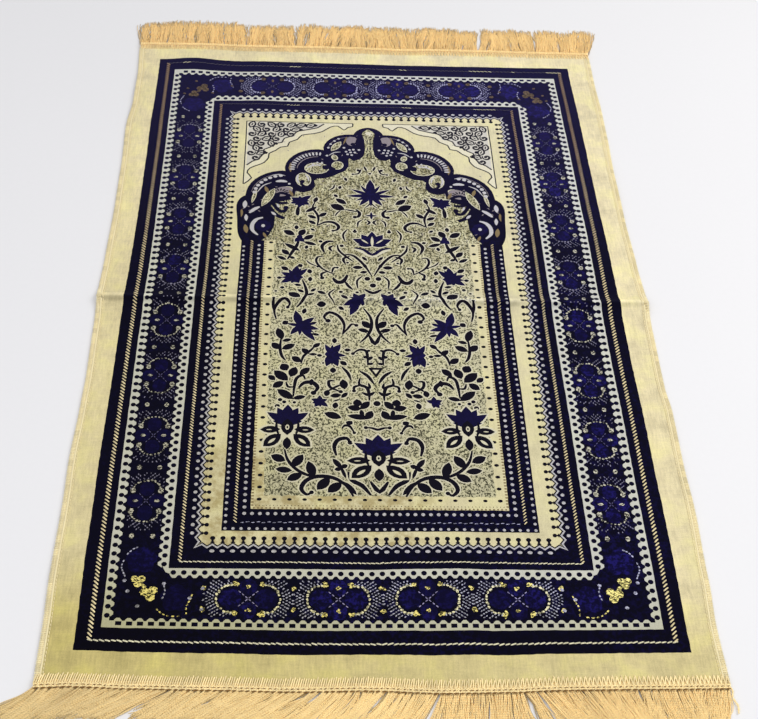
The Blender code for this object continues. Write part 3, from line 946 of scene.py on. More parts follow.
# Leaves: from x, y, to x, y, width
FIELD_LEAVES = (
    (-48.5, 196, -33.5, 184, 6.2), (-56, 183, -36, 172, 9), (-74, 198.5, -78, 186, 4.4),
    (-74, 177.5, -90, 165.5, 4.6), (-60.5, 165.5, -72, 156.5, 5), (-87, 159.5, -74.5, 153, 4.6),
    (-85.5, 148.5, -75.5, 141, 4.4), (-101.5, 138.5, -101.5, 129, 4.2), (-83, 132, -76.5, 127.5, 3),
    (-119, 127.5, -103.5, 118, 6.8), (-90, 130.5, -98, 116.5, 6.8), (-78, 118.5, -92, 109.5, 6),
    (-74, 98.5, -92, 105, 4.6), (-117.5, 101.5, -95.5, 86, 5), (-120, 89, -110, 78, 5.6),
    (-72, 107, -66, 105, 3.6), (-86.5, 98, -88.5, 90, 3.6), (-126, 75.5, -113, 68, 4.2),
    (-102, 71, -110, 74.5, 3.6), (-96.5, 61, -93.5, 53.5, 4.6), (-120, 55, -110, 48, 5),
    (-83.5, 51, -81.5, 42, 4.6), (-81.5, 36.5, -81.5, 27, 4), (-125, 33.5, -118, 33.5, 3.6),
    (-117.5, 18, -116.5, 12.5, 4), (-97.5, 12.5, -88.5, 5.5, 3.8), (-73.5, 14.5, -80.5, 7.5, 3.4),
    (-75, 4.5, -85.5, -1.5, 3.8), (-108.5, 5.5, -93.5, -7, 9), (-102, 21.5, -92, 19.5, 3.4),
    (-72, 9.5, -60.5, 2.5, 4.6), (-72.5, -17.5, -60, -16.5, 6), (-86.5, -23, -89.5, -33, 4.2),
    (-41, 1.5, -33, -9.5, 4.8), (-45, -20, -37.5, -25, 3.6), (-15.5, -44, -4.5, -57, 7),
    (-21, -58.5, -6.5, -63, 5), (-121, -58, -114.5, -79, 7.2), (-103, -78, -115, -81.5, 4.2),
    (-127.5, -84.5, -117, -95.5, 7), (-98.5, -86.5, -115, -95.5, 6.6), (-50, -74.5, -50, -84.5, 4.4),
    (-72, -47, -82, -52, 3.6), (-68, -70.5, -79, -67.5, 3.2), (-115, -52, -108, -46, 5.4),
    (-102.5, -107.5, -91, -117, 6.6), (-90.5, -93.5, -81, -103, 5.6), (-67.5, -84, -77, -92, 4.6),
    (-71, -103.5, -82, -103.5, 3.4), (-72, -105, -65, -105.5, 3.6), (-52, -125, -52, -135, 5.4),
    (-43.5, -114.5, -35, -121.5, 4.8), (-38.5, -95.5, -29.5, -95.5, 4), (-114.5, -120, -107.5, -131.5, 8.4),
    (-123.5, -131.5, -106, -148, 9), (-97, -125, -103.5, -142, 8), (-80, -126, -92.5, -138, 6.6),
    (-130, -139.5, -121.5, -147.5, 5.4), (-111.5, -149.5, -124.5, -159.5, 7), (-119, -162, -99, -178, 8),
    (-100.5, -177, -84.5, -173, 5), (-77.5, -144.5, -78.5, -156, 4.6), (-40.5, -144.5, -38, -161.5, 7.2),
    (-58.5, -162, -60.5, -173, 5.4), (-56, -172.5, -42, -170, 5.2), (-34.5, -166, -42.5, -175, 4.2),
    (-48.5, -182, -50.5, -192.5, 5), (-24, -176.5, -22.5, -189, 7.5), (-35.5, -189.5, -18.5, -192.5, 6.6),
    (-8.5, -180, -20, -193, 6.6), (-36, -203, -9, -207, 6), (-6, -195, -13, -209, 7),
    (-63, -199, -42, -207, 7.4), (-123.5, -264, -106.5, -272.5, 7.8), (-118, -284, -98.5, -286.5, 6.4),
    (-86.5, -262.5, -99, -281.5, 8), (-104.5, -300.5, -87, -290.5, 7.6), (-80.5, -272, -74, -296.5, 8),
    (-56, -296, -70.5, -314, 8.6), (-42.5, -303, -58.5, -317.5, 8.4), (-53, -268, -42, -283, 4.8),
    (-51, -284.5, -42, -283, 4.2), (-35.5, -277.5, -43.5, -281.5, 4.6), (-40.5, -301.5, -25.5, -321, 4.8),
    (-37.5, -213, -29, -216, 4.8), (-15.5, -62, -6, -68, 0.9), (-27, 55.5, -12.5, 55.5, 5),
    (-17, 45.5, -7, 47.5, 4), (-12.5, 63.5, -8, 53.5, 3.6), (-7, 68.5, -14, 77, 3.4),
    (-22.5, 130, -23.5, 124, 4.2), (-43, 100, -38.5, 95.5, 4), (-51, 205, -45.5, 198.5, 3.6),
    (-35.5, 243, -33, 234, 3.2), (-43, 216, -42, 224, 3.4), (-18, 262, -14, 256, 3.6),
)
# Stems and tendrils: their points, their width, and the radius of the blob at their end
FIELD_STEMS = (
    (((-36, 173), (-27, 170.5), (-19.5, 168.5)), 1.6, 0),
    (((-21, 173.5), (-16, 166), (-17.5, 158.5), (-22.5, 157)), 2.6, 3),
    (((-42, 170.5), (-46.5, 165), (-49.5, 158.5)), 1.3, 0),
    (((-77, 187), (-80, 175), (-74, 162), (-72, 151), (-74, 137)), 2, 0),
    (((-99.5, 178), (-100.5, 166), (-100.5, 158)), 3, 0),
    (((-72.5, 139), (-63, 145.5), (-52.5, 145.5), (-45, 138), (-46.5, 130.5), (-52.5, 128)), 2.6, 2.2),
    (((-97.5, 110), (-100.5, 97), (-106, 84), (-112, 69)), 2.6, 0),
    (((-33, 131.5), (-39, 120), (-36, 106)), 1.6, 0),
    (((-63.5, 83.5), (-67, 96), (-60.5, 105.5), (-51.5, 106.5)), 2.8, 0),
    (((-46.5, 100), (-44.5, 88.5), (-35.5, 77), (-25, 66.5)), 1.9, 0),
    (((-52.5, 97.5), (-57, 93), (-53.5, 86.5)), 2.2, 0),
    (((-19, 137), (-18, 146.5), (-12.5, 151.5)), 1.5, 0),
    (((-6.5, 151), (-2.6, 146.5), (-6, 141.5)), 1.9, 0),
    (((-91.5, 30), (-87, 16), (-85.5, 2), (-90.5, -12.5), (-98, -22)), 2.4, 0),
    (((-87, 68.5), (-82.5, 62), (-72, 56)), 1.3, 2),
    (((-64.5, 75), (-72, 75), (-74, 65), (-66, 52), (-52, 42.5)), 1.9, 0),
    (((-53.5, 43.5), (-51.5, 53.5), (-46.5, 54.5)), 1.7, 2.1),
    (((-60, 46.5), (-67, 42), (-66, 34.5)), 2, 3),
    (((-52, 34.5), (-46.5, 27), (-38.5, 28.5), (-33, 41)), 3.6, 0),
    (((-36, 28.5), (-32, 20), (-26, 13)), 2.2, 0),
    (((-39, 80), (-27.5, 79.5), (-18.5, 71), (-9.5, 57), (-1.5, 39.5)), 2.2, 0),
    (((-30, 77), (-38.5, 72), (-36, 62)), 2.2, 0), (((-13, 39.5), (-20.5, 30), (-19.5, 15.5)), 1.6, 0),
    (((-11, 14), (-5.5, 9.5), (0, 6.5), (5.5, 9.5), (11, 14)), 3, 0),
    (((-13, -22), (-4.5, -37), (-3.5, -55), (-9.5, -71), (-18.5, -82.5)), 2.3, 0),
    (((-49, 14), (-57, 2.5), (-50, -15.5)), 1.6, 0),
    (((-40, -69), (-37.5, -52), (-44, -36.5), (-56, -29.5), (-63, -38), (-58, -44.5)), 2.5, 3.6),
    (((-40, -68.5), (-33, -57.5), (-28, -50), (-22.5, -52)), 1.8, 2.8),
    (((-116, -76), (-117, -94), (-114.5, -107), (-110, -114)), 2.2, 0),
    (((-7, -69), (0, -84.5), (7, -69)), 3, 0),
    (((-123, -43), (-126, -27), (-121, -15), (-113, -9), (-106.5, -16), (-109, -22)), 2.4, 2.4),
    (((-126, -29), (-127.5, -18), (-127, -9)), 2.2, 2.2),
    (((-91, -120), (-88, -107), (-80, -97.5), (-73.5, -88.5)), 2, 0),
    (((-9.5, -121), (-9.5, -108), (-11.5, -96.5), (-20, -95), (-27.5, -101.5)), 2.2, 2.6),
    (((-12, -98), (-6, -95.5)), 2.2, 0), (((-9.5, -108), (-15, -106.5)), 2.6, 0),
    (((-9.5, -112), (-3.5, -106.5)), 2.6, 0), (((-9.5, -119), (-3, -118)), 2.4, 0),
    (((-41, -124.5), (-34, -134.5), (-30.5, -145.5)), 2.2, 0),
    (((-19.5, -131), (-10, -139), (-3, -151.5)), 2.4, 0),
    (((-99.5, -174), (-98.5, -158), (-96, -144), (-88.5, -139), (-85.5, -146)), 2.3, 0),
    (((-99, -158), (-106, -158), (-108.5, -150)), 1.8, 0),
    (((-93, -159.5), (-87, -151.5), (-77, -150.5), (-70.5, -159), (-75.5, -167.5)), 3.2, 3.6),
    (((-50.5, -147.5), (-57, -148), (-55.5, -158), (-43, -165)), 2.2, 2.8),
    (((-58.5, -164.5), (-50.5, -158.5), (-42.5, -153.5)), 1.8, 0),
    (((-19.5, -143), (-20.5, -153), (-12, -157.5), (-9, -168), (-9, -179)), 2.4, 0),
    (((-19, -154.5), (-26.5, -157), (-27, -163.5)), 2, 2.6),
    (((-9.5, -150.5), (-8, -158), (-12, -160)), 2, 0), (((-17.5, -166), (-9, -170), (-2.5, -165)), 2.6, 0),
    (((-19, -194), (-17.5, -206)), 3, 0), (((-52, -180.5), (-44, -177.5)), 1.4, 0),
    (((-48.5, -264), (-51, -251), (-46.5, -240.5), (-36.5, -238), (-32.5, -244.5)), 3, 3.2),
    (((-108, -255), (-104, -271), (-93.5, -285), (-80.5, -293), (-70, -294.5)), 2.3, 0),
    (((-29.5, -323), (-38, -307), (-52, -296.5), (-70, -294.5), (-83, -301), (-88, -312.5),
     (-82, -320.5), (-76.5, -317.5)), 3, 2.8),
    (((-43, -281.5), (-38, -296)), 2.2, 0),
    (((-35, -287.5), (-31, -299.5), (-19.5, -307.5), (-10, -321)), 3.2, 0),
    (((-10, -301.5), (0, -316), (10, -301.5)), 3.2, 0),
    (((-41.5, -222.5), (-38.5, -218.5), (-32.5, -220), (-27.5, -229.5)), 2, 2.2),
    (((-14, -221.5), (-7, -222), (0, -224.5), (7, -222), (14, -221.5)), 2, 2.6),
    (((-8.5, 177), (-3, 183), (0, 190)), 1.2, 0), (((-57, 214), (-51.5, 219), (-50, 226)), 1.5, 0),
    (((-12, 262), (-16, 252), (-24, 250)), 1.6, 2), (((-8, 268), (-4.5, 258)), 1.8, 0),
)
FIELD_DOTS = (
    (-7.2, 34, 4), (0, 21.5, 4.2), (-20.5, 7.5, 2.4), (-41.5, 8, 2.8), (0, -183.5, 4.4), (-23, 130, 1.8),
    (-110, -182.5, 2.6), (-98, -183, 2.2), (-118, -189, 3.2), (-115, -179, 2.8), (-31.5, -213.5, 2.4),
    (-64, -118, 1.6), (-125, 8, 2), (-14, -16.5, 1.8), (-33, 64.5, 2), (0, 252, 2.2),
)
# Flowers: x, y, and petals as direction, reach and width
FIELD_FLOWERS = (
    (0, 203, ((90, 36, 13), (153, 31, 6.4), (27, 31, 6.4), (182, 34, 7), (-2, 34, 7), (233, 27, 8),
     (307, 27, 8))),
    (0, 160.5, ((0, 9, 3.4), (90, 8, 4), (180, 9, 3.4), (270, 8, 4))),
    (-97, 189, ((40, 20, 9), (150, 15, 9), (200, 15, 8), (330, 15, 9), (265, 14, 9), (95, 11, 8))),
    (-97, 112, ((230, 10, 8), (310, 10, 8), (90, 8, 8))),
    (-102, 35, ((82, 23, 11), (153, 20, 8.5), (212, 21, 9), (45, 24, 8.5), (300, 13, 10), (0, 12, 10),
     (255, 12, 9))),
    (-19, -9, ((114, 16, 9), (58, 17, 9.5), (205, 22, 8.5), (246, 28, 11), (315, 11, 8), (90, 10, 9))),
    (-93, -54, ((103, 28, 11.5), (40, 24, 9), (346, 25, 8.5), (306, 33, 9.5), (233, 20, 8.5),
     (90, 12, 10))),
    (-53.5, -103, ((58, 21, 10), (116, 19, 7.5), (352, 18, 7), (252, 22, 11), (290, 22, 11),
     (180, 9, 12), (20, 9, 12))),
    (-68, -181, ((160, 11, 7), (90, 10, 7), (20, 10, 6), (320, 13, 7), (235, 11, 7), (275, 9, 6))),
)


# How much fuller leaves, petals and stems are than their noted widths
LEAF_FULLNESS = 1.46
PETAL_FULLNESS = 0.98
STEM_FULLNESS = 1.85


def petals(x, y, rows, spread):
    made = []
    for turn, reach, width in rows:
        u, v = towards(turn)
        full = width * PETAL_FULLNESS
        made.append(leaf(x - u * 3, y - v * 3, x + u * reach, y + v * reach, full, spread, 6, 1))
    return made


def spiked(rows):
    """The petals of a flower, with a small one in each wide gap between them."""
    order = sorted(rows)
    made = list(rows)
    for (turn, reach, _), (after, other, _) in zip(order, order[1:] + [(order[0][0] + 360, *order[0][1:])]):
        if after - turn > 32 and min(reach, other) > 10:
            made.append(((turn + after) / 2, min(reach, other) * 0.88, 5.6))
    return made


def stems(spread):
    made = []
    for points, width, blob in FIELD_STEMS:
        made.append(ribbon(smooth(points), width * STEM_FULLNESS + 2 * spread))
        if blob:
            made.append(disc(*points[-1], blob + spread, 9))
    return made


# The lotus, in millimetres from its heart before it is scaled: petals as direction, reach and width
LOTUS_PETALS = (
    (90, 32, 18), (118, 30, 14), (62, 30, 14), (147, 33, 13), (33, 33, 13), (172, 20, 9), (8, 20, 9),
)
FAN_PETALS = (
    (90, 28, 14), (124, 26, 14), (56, 26, 14), (155, 29, 13), (25, 29, 13), (180, 20, 8), (0, 20, 8),
)
LOTUS_ARMS = (
    (-9, -14, -36, -15, 12), (-8, -22, -31, -43, 17), (9, -14, 36, -15, 12), (8, -22, 31, -43, 17),
)
LOTUS_EYES = (
    (-15, -29, -25, -38, 4.2), (15, -29, 25, -38, 4.2), (-20, -14.8, -28, -15, 1.8),
    (20, -14.8, 28, -15, 1.8),
)


def weave_lotus(loom, x, y, across, along):
    """A lotus: a dark crown, side leaves with pale eyes, and a ringed drop over a bud."""
    put = loom.at(x, y, 0, (across, along))
    put("halo", petals(0, -3, LOTUS_PETALS, 3) + [leaf(*arm, 3) for arm in LOTUS_ARMS])
    put("indigo_field", petals(0, -3, LOTUS_PETALS, 0) + [oval(0, 0, 13.5, 9, 0, 12)])
    put("halo", [leaf(0, 3, 0, -40, 20)])
    put("ink", [ribbon([(side * 14.5, 1), (side * 14.5, -13), (side * 11, -24)], 4.4) for side in (-1, 1)])
    put("ink", [leaf(*arm) for arm in LOTUS_ARMS])
    put("halo", [leaf(*eye) for eye in LOTUS_EYES])
    put("ink", [leaf(0, 4, 0, -24, 17)])
    put("halo", [oval(0, -10.5, 2.8, 4.6), leaf(0, -24, 0, -49, 13)])
    put("ink", [oval(0, -10.5, 1.3, 2.4, 0, 6), leaf(0, -27, 0, -48, 11.5)])


def weave_field(loom):
    for spread, yarn, flower in ((1.5, "halo", "halo"), (0, "ink", "indigo_field")):
        leaves = [leaf(*row[:4], row[4] * LEAF_FULLNESS, spread) for row in FIELD_LEAVES] + stems(spread)
        leaves += [disc(x, y, radius + spread, 9) for x, y, radius in FIELD_DOTS]
        loom.both(yarn, leaves)
        for x, y, rows in FIELD_FLOWERS:
            heart = min(rows[0][1] * 0.22, 5.5)
            loom.both(flower, petals(x, y, spiked(rows), spread) + [disc(x, y, heart, 9)])
    # the small lotus with its fanned petals
    fold = smooth([(-24, 93), (-10, 86), (0, 80), (10, 86), (24, 93)])
    loom.weave("halo", petals(0, 100, FAN_PETALS, 1.8) + [ribbon(fold, 9)])
    loom.weave("indigo_field", petals(0, 100, FAN_PETALS, 0))
    loom.weave("halo", [leaf(0, 118, 0, 96, 4), leaf(-5, 103, -15, 112, 2.6), leaf(5, 103, 15, 112, 2.6)])
    loom.weave("indigo_field", [ribbon(smooth([(-24, 94), (-12, 91), (0, 81), (12, 91), (24, 94)]), 5)])
    # a small hanging triangle with a pale middle
    loom.weave("ink", [[(-9.5, -125), (0, -142), (9.5, -125)]])
    loom.weave("halo", [[(-4, -128.5), (0, -135.5), (4, -128.5)]])
    for side in (-1, 1):
        weave_lotus(loom, side * 105.5, -212.5, 0.88, 0.90)
    weave_lotus(loom, 0, -258, 1.02, 0.90)


def woven_pattern():
    """The whole pattern of the pile side."""
    loom = Loom()
    loom.weave("margin", [box(CLOTH_HALF_WIDTH / MM, CLOTH_LENGTH / 2 / MM)])
    weave_border(loom)
    weave_spandrels(loom)
    weave_niche(loom)
    weave_arch(loom)
    weave_field(loom)
    return loom


# ---- the shader maths


class Amount:
    """A number that changes over a surface. A sum or product of it adds Math nodes."""

    def __init__(self, finish, socket):
        self.finish = finish
        self.socket = socket

    def maths(self, operation, *others):
        values = {0: self.socket}
        for place, other in enumerate(others, 1):
            values[place] = other.socket if isinstance(other, Amount) else other
        node = self.finish.node("ShaderNodeMath", {"operation": operation}, values)
        return Amount(self.finish, node.outputs[0])

    def __add__(self, other):
        return self.maths("ADD", other)

    __radd__ = __add__

    def __sub__(self, other):
        return self.maths("SUBTRACT", other)

    def __rsub__(self, other):
        return (self * -1.0) + other

    def __mul__(self, other):
        return self.maths("MULTIPLY", other)

    __rmul__ = __mul__

    def sine(self):
        return self.maths("SINE")

    def size(self):
        return self.maths("ABSOLUTE")

    def between(self, low, high, to_low=0.0, to_high=1.0):
        """Goes from to_low to to_high as the amount goes from low to high, softly."""
        node = self.finish.node(
            "ShaderNodeMapRange", {"interpolation_type": "SMOOTHSTEP"},
            {"Value": self.socket, "From Min": low, "From Max": high, "To Min": to_low, "To Max": to_high},
        )
        return Amount(self.finish, node.outputs[0])


class Finish:
    """A material and the helpers that add its nodes."""

    def __init__(self, name):
        self.material = bpy.data.materials.new(name)
        self.material.use_nodes = True
        self.tree = self.material.node_tree
        self.shader = self.tree.nodes["Principled BSDF"]

    def node(self, kind, settings=None, values=None):
        node = self.tree.nodes.new(kind)
        for name, value in (settings or {}).items():
            setattr(node, name, value)
        for place, value in (values or {}).items():
            self.feed(node.inputs[place], value)
        return node

    def feed(self, socket, value):
        value = value.socket if isinstance(value, Amount) else value
        if isinstance(value, bpy.types.NodeSocket):
            self.tree.links.new(value, socket)
        else:
            socket.default_value = value

    def set(self, **values):
        for name, value in values.items():
            self.feed(self.shader.inputs[name.replace("_", " ").title().replace("Ior", "IOR")], value)

    def place(self):
        return self.node("ShaderNodeTexCoord").outputs["Object"]

    def vector_maths(self, operation, values):
        return self.node("ShaderNodeVectorMath", {"operation": operation}, values).outputs[0]

    def stretched(self, vector, factors):
        return self.vector_maths("MULTIPLY", {0: vector, 1: factors})

    def parts(self, vector):
        node = self.node("ShaderNodeSeparateXYZ", None, {0: vector})
        return [Amount(self, socket) for socket in node.outputs]

    def noise(self, vector, scale, detail=2.0, roughness=0.5, distortion=0.0):
        node = self.node("ShaderNodeTexNoise", None, {
            "Vector": vector, "Scale": scale, "Detail": detail, "Roughness": roughness,
            "Distortion": distortion,
        })
        return Amount(self, node.outputs["Fac"])

    def streaks(self, vector, factors, detail=3.0, roughness=0.6):
        """Noise that is finer in some directions than in others."""
        return self.noise(self.stretched(vector, factors), 1.0, detail, roughness)

    def cells(self, vector, scale):
        """A random number for each small cell of the surface."""
        node = self.node("ShaderNodeTexVoronoi", None, {"Vector": vector, "Scale": scale})
        return self.parts(node.outputs["Color"])[0]

    def attribute(self, name):
        return self.node("ShaderNodeAttribute", {"attribute_name": name})

    def mix(self, factor, a, b, blend="MIX"):
        node = self.node("ShaderNodeMix", {"data_type": "RGBA", "blend_type": blend})
        for socket, value in ((node.inputs[0], factor), (node.inputs[6], a), (node.inputs[7], b)):
            if isinstance(value, tuple) and len(value) == 3:
                value = (*value, 1.0)
            self.feed(socket, value)
        return node.outputs[2]

    def shade(self, colour, amount):
        """A colour made lighter or darker by an amount round 1."""
        return self.vector_maths("SCALE", {0: colour, "Scale": amount})

    def bump(self, height, strength, distance):
        values = {"Height": height, "Strength": strength, "Distance": distance}
        self.set(normal=self.node("ShaderNodeBump", None, values).outputs[0])


# What sets a yarn apart: a colour of another name, how metallic, speckled and brushed it is, how much
# painted sheen it takes on at the far end, and how much blue glint, partly painted sheen, is in it. A yarn
# that isn't listed is plain.
YARNS = {
    "margin": {"brushed": 1.0},
    "panel": {"brushed": 0.75},
    "halo": {"brushed": 0.25},
    "lace": {"brushed": 0.4, "far_shine": 0.6},
    "pearl": {"brushed": 0.2},
    "tan": {"brushed": 0.2},
    "dusk": {"brushed": 0.5},
    "frame": {"brushed": 0.3},
    "spandrel": {"brushed": 0.3},
    "ground": {"speckled": 1.0, "brushed": 0.6},
    "navy": {"far_shine": 1.0, "blue_glints": 0.25},
    "band": {"colour": "navy", "far_shine": 1.0, "blue_glints": 0.45},
    "ink": {"far_shine": 0.25},
    "indigo": {"far_shine": 1.3, "blue_glints": 1.5},
    "indigo_field": {"colour": "flower", "far_shine": 0.15, "blue_glints": 0.4},
    "gold": {"metallic": 1.0},
    "pale_gold": {"metallic": 1.0},
    "bright_arc": {"metallic": 0.8},
    "side_arc": {"metallic": 0.6},
    "amber": {"metallic": 0.6},
    "far_arc": {"metallic": 0.6},
    "gold_dark": {"colour": "olive", "metallic": 0.3},
    "silver": {"metallic": 0.25},
    "floss": {"metallic": 0.6},
    "lilac": {"metallic": 0.5},
    "lilac_dim": {"metallic": 0.3},
}
# The corner attribute "nap" holds these of a yarn, and "yarn" its colour and how metallic it is
NAP = ("speckled", "brushed", "far_shine", "blue_glints")


TUFT_PITCH = 0.0011
TUFT_ROW_PITCH = 0.0010
WARP_PITCH = 0.0016
WEFT_PITCH = 0.0022


def velvet(colours):
    """Short cut pile in the woven pattern's yarns, brushed here and there, with metallic floats."""
    finish = Finish("pile_velvet")
    yarn = finish.attribute("yarn")
    metal = Amount(finish, yarn.outputs["Alpha"])
    nap = finish.attribute("nap")
    speckled, brushed, far_shine = finish.parts(nap.outputs["Vector"])
    place = finish.place()
    x, y, _ = finish.parts(place)
    # the brushed cream: soft patches, and streaks that run along the rug
    patches = finish.noise(place, 26.0, 3.0, 0.6)
    streaks = finish.streaks(place, (420.0, 60.0, 60.0))
    tufts = finish.noise(place, 900.0, 2.0, 0.7)
    linen = finish.streaks(place, (60.0, 520.0, 60.0))
    folds = finish.streaks(place, (34.0, 6.0, 6.0), 2.0)
    rubbed = (patches - 0.5) * 0.92 + (streaks - 0.5) * 0.44 + (linen - 0.5) * 0.22 + (folds - 0.5) * 0.34
    lightness = 1.0 + brushed * rubbed + (tufts - 0.5) * 0.42 - speckled * y.between(-0.34, -0.10, 0.14, 0.0)
    # how much painted sheen the far end takes on, with a small step up past the fold
    far = y.between(0.00, 0.50, 0.0, 0.95) + y.between(-0.022, 0.006, 0.0, 0.05)
    # painted light and sheen: the pile leans to the near left and is painted deeper and yellower there, and
    # paler at the far right, where it catches more light
    to_right = x.between(-0.33, 0.33)
    raised = (y + x * 0.05).between(-0.52, -0.39)
    leaning = to_right * 0.35 + raised * (y.between(-0.30, 0.50) * 0.30 + 0.53 - to_right * 0.07)
    painted_light_tint = finish.mix(leaning, (0.77, 0.74, 0.58), (1.12, 1.135, 1.47))
    colour = finish.shade(yarn.outputs["Color"], lightness)
    tinted = brushed * patches.between(0.42, 0.68) * 0.55
    olive_tint = finish.mix(tinted, (1.0, 1.0, 1.0), (0.86, 0.90, 0.66))
    colour = finish.mix(1.0, colour, olive_tint, "MULTIPLY")
    colour = finish.mix(1.0, colour, painted_light_tint, "MULTIPLY")
    # the near end of the panel is mottled with brown
    mottled = finish.noise(place, 64.0, 3.0, 0.65).between(0.40, 0.62) * brushed.between(0.62, 0.72)
    mottled = mottled * (x + 0.06).size().between(0.10, 0.17, 0.70, 0.0)
    mottled = mottled * (y + 0.335).size().between(0.06, 0.10, 1.0, 0.0)
    colour = finish.mix(mottled, colour, (0.34, 0.26, 0.10))
    # the field's ground: dark olive squiggles, and olive streaks that thicken towards the arch
    worms = (finish.noise(place, 205.0, 1.0, 0.5, 0.7) - 0.5).size().between(0.026, 0.055, 1.0, 0.0)
    breaks = finish.noise(place, 300.0, 0.0).between(0.41, 0.49)
    specks = finish.noise(finish.stretched(place, (1.0, 0.70, 1.0)), 420.0, 1.0, 0.6).between(0.550, 0.610)
    streak_ground = finish.streaks(place, (430.0, 75.0, 75.0), 2.0).between(0.46, 0.62)
    upper = y.between(-0.02, 0.12, 0.10, 0.62)
    shade_patches = finish.noise(place, 58.0, 3.0, 0.65).between(0.42, 0.60, -0.05, 0.62)
    colour = finish.mix(shade_patches * speckled * upper, colour, colours["olive_light"])
    dark = (worms * breaks * 0.94).maths("MAXIMUM", specks * 0.9) * speckled
    colour = finish.mix(streak_ground * speckled * upper, colour, colours["olive_light"])
    colour = finish.mix(dark, colour, colours["olive"])
    # painted sheen: the navy pile is painted brighter where it leans away at the far end
    colour = finish.mix(far_shine * far * 0.75, colour, colours["navy_far"], "ADD")
    # blue glints: partly the blue of the pile, partly painted sheen, stronger towards the right
    sparks = finish.noise(place, 210.0, 2.0, 0.65).between(0.42, 0.70)
    glow = finish.noise(place, 7.0, 1.0).between(0.38, 0.60, 0.25, 1.0) * x.between(-0.30, 0.15, 0.35, 1.0)
    blue_glints = Amount(finish, nap.outputs["Alpha"]) * sparks * glow
    colour = finish.mix(blue_glints, colour, colours["blue_glint"], "ADD")
    # metallic floats glint one by one
    glint = finish.cells(finish.stretched(place, (1.0, 1.5, 1.0)), 560.0)
    colour = finish.shade(colour, 1.0 + metal * glint.between(0.30, 0.62, -0.86, 0.40))
    # painted light along the fold across the rug: a painted highlight where its pile is parted on the ridge,
    # painted shade just below it, and a whitish painted glare on the pale yarns, most of all right of the
    # middle
    off_fold = y - (CREASE_Y + 0.003)
    ridge_highlight = off_fold.size().between(0.0015, 0.0060, 1.0, 0.0)
    crease_shade = (off_fold + 0.0065).size().between(0.0010, 0.0065, 1.0, 0.0)
    uneven = finish.noise(place, 22.0, 2.0).between(0.30, 0.62, 0.35, 1.0)
    colour = finish.shade(colour, 1.0 + (ridge_highlight * 0.30 - crease_shade * 0.30) * uneven)
    glare = (x - 0.095).size().between(0.02, 0.13, 1.0, 0.12)
    glare = glare * finish.noise(place, 120.0, 3.0, 0.7).between(0.38, 0.62)
    spilled = off_fold.size().between(0.004, 0.022, 1.0, 0.0) * glare * 0.10
    pale = brushed.between(0.0, 0.20)
    colour = finish.mix((ridge_highlight * (glare * 0.16 + 0.008) + spilled) * pale, colour, (0.92, 0.92, 1.0))
    finish.set(base_color=colour, metallic=metal * 0.45, roughness=0.92 - metal * 0.5)
    finish.set(specular_ior_level=0.04)
    finish.set(sheen_weight=0.02, sheen_roughness=0.45, sheen_tint=(0.60, 0.62, 1.0, 1.0))
    rows = (x * (math.tau / TUFT_PITCH)).sine() * 0.5 + (y * (math.tau / TUFT_ROW_PITCH)).sine() * 0.5
    finish.bump(tufts * 0.7 + rows * 0.22 + streaks * 0.35, 0.55, 0.0009)
    return finish.material


def backing():
    """The plain woven back: crossing ribs of dull yarn, with the pattern showing through faintly."""
    finish = Finish("woven_back")
    yarn = finish.attribute("yarn")
    place = finish.place()
    x, y, _ = finish.parts(place)
    weave = (x * (math.tau / WARP_PITCH)).sine() * (y * (math.tau / WEFT_PITCH)).sine()
    slubs = finish.streaks(place, (60.0, 420.0, 60.0))
    fibres = finish.noise(place, 1100.0, 2.0, 0.6)
    lightness = 0.94 + weave * 0.12 + (slubs - 0.5) * 0.35 + (fibres - 0.5) * 0.3
    colour = finish.shade(yarn.outputs["Color"], lightness)
    finish.set(base_color=colour, roughness=0.9, specular_ior_level=0.2)
    finish.bump(weave * 0.5 + fibres * 0.6, 0.6, 0.0006)
    return finish.material


def spun_yarn(name, colour, shadow, twist, roughness, metallic=0.0, far_colour=None):
    """Twisted yarn, by the lay of its own UV map: around it and along it, in millimetres."""
    finish = Finish(name)
    lay = finish.node("ShaderNodeUVMap", {"uv_map": "lay"}).outputs[0]
    around, along, _ = finish.parts(lay)
    tint = Amount(finish, finish.attribute("tint").outputs["Fac"])
    plies = ((along * (1.0 / twist) + around) * math.tau).sine()
    fibres = finish.streaks(lay, (9.0, 0.9, 1.0), 3.0, 0.65)
    patches = finish.noise(finish.place(), 34.0, 2.0)
    lightness = 0.92 + plies * 0.04 + (fibres - 0.5) * 0.30 + (patches - 0.5) * 0.22 + tint * 0.30
    if far_colour:
        y = finish.parts(finish.place())[1]
        colour = finish.mix(y.between(-0.10, 0.40), colour, far_colour)
    shaded = plies.between(-1.0, 0.1, 0.16, 0.0) + fibres.between(0.55, 0.75) * 0.12
    base = finish.shade(finish.mix(shaded, colour, shadow), lightness)
    finish.set(base_color=base, roughness=roughness + (fibres - 0.5) * 0.25, metallic=metallic)
    finish.set(sheen_weight=0.25, sheen_roughness=0.4)
    finish.bump(plies * 0.6 + fibres * 0.5, 0.55, 0.0004)
    return finish.material


def floor_paint(colours):
    """A plain pale floor with the faintest cloudiness."""
    finish = Finish("pale_floor")
    place = finish.place()
    clouds = finish.noise(place, 1.4, 2.0)
    grain = finish.noise(place, 160.0, 2.0)
    lightness = 0.985 + (clouds - 0.5) * 0.03 + (grain - 0.5) * 0.02
    colour = finish.shade(colours["floor"], lightness)
    finish.set(base_color=colour, roughness=0.6, specular_ior_level=0.2)
    finish.bump(grain, 0.04, 0.0004)
    return finish.material


# ---- making the pieces


def finish_piece(piece, slot, *nodes):
    """A piece rides on the rug's body and stands for the CAD nodes. Its slot is not used."""
    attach(piece, "root")
    if nodes:
        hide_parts(*nodes)
    return piece


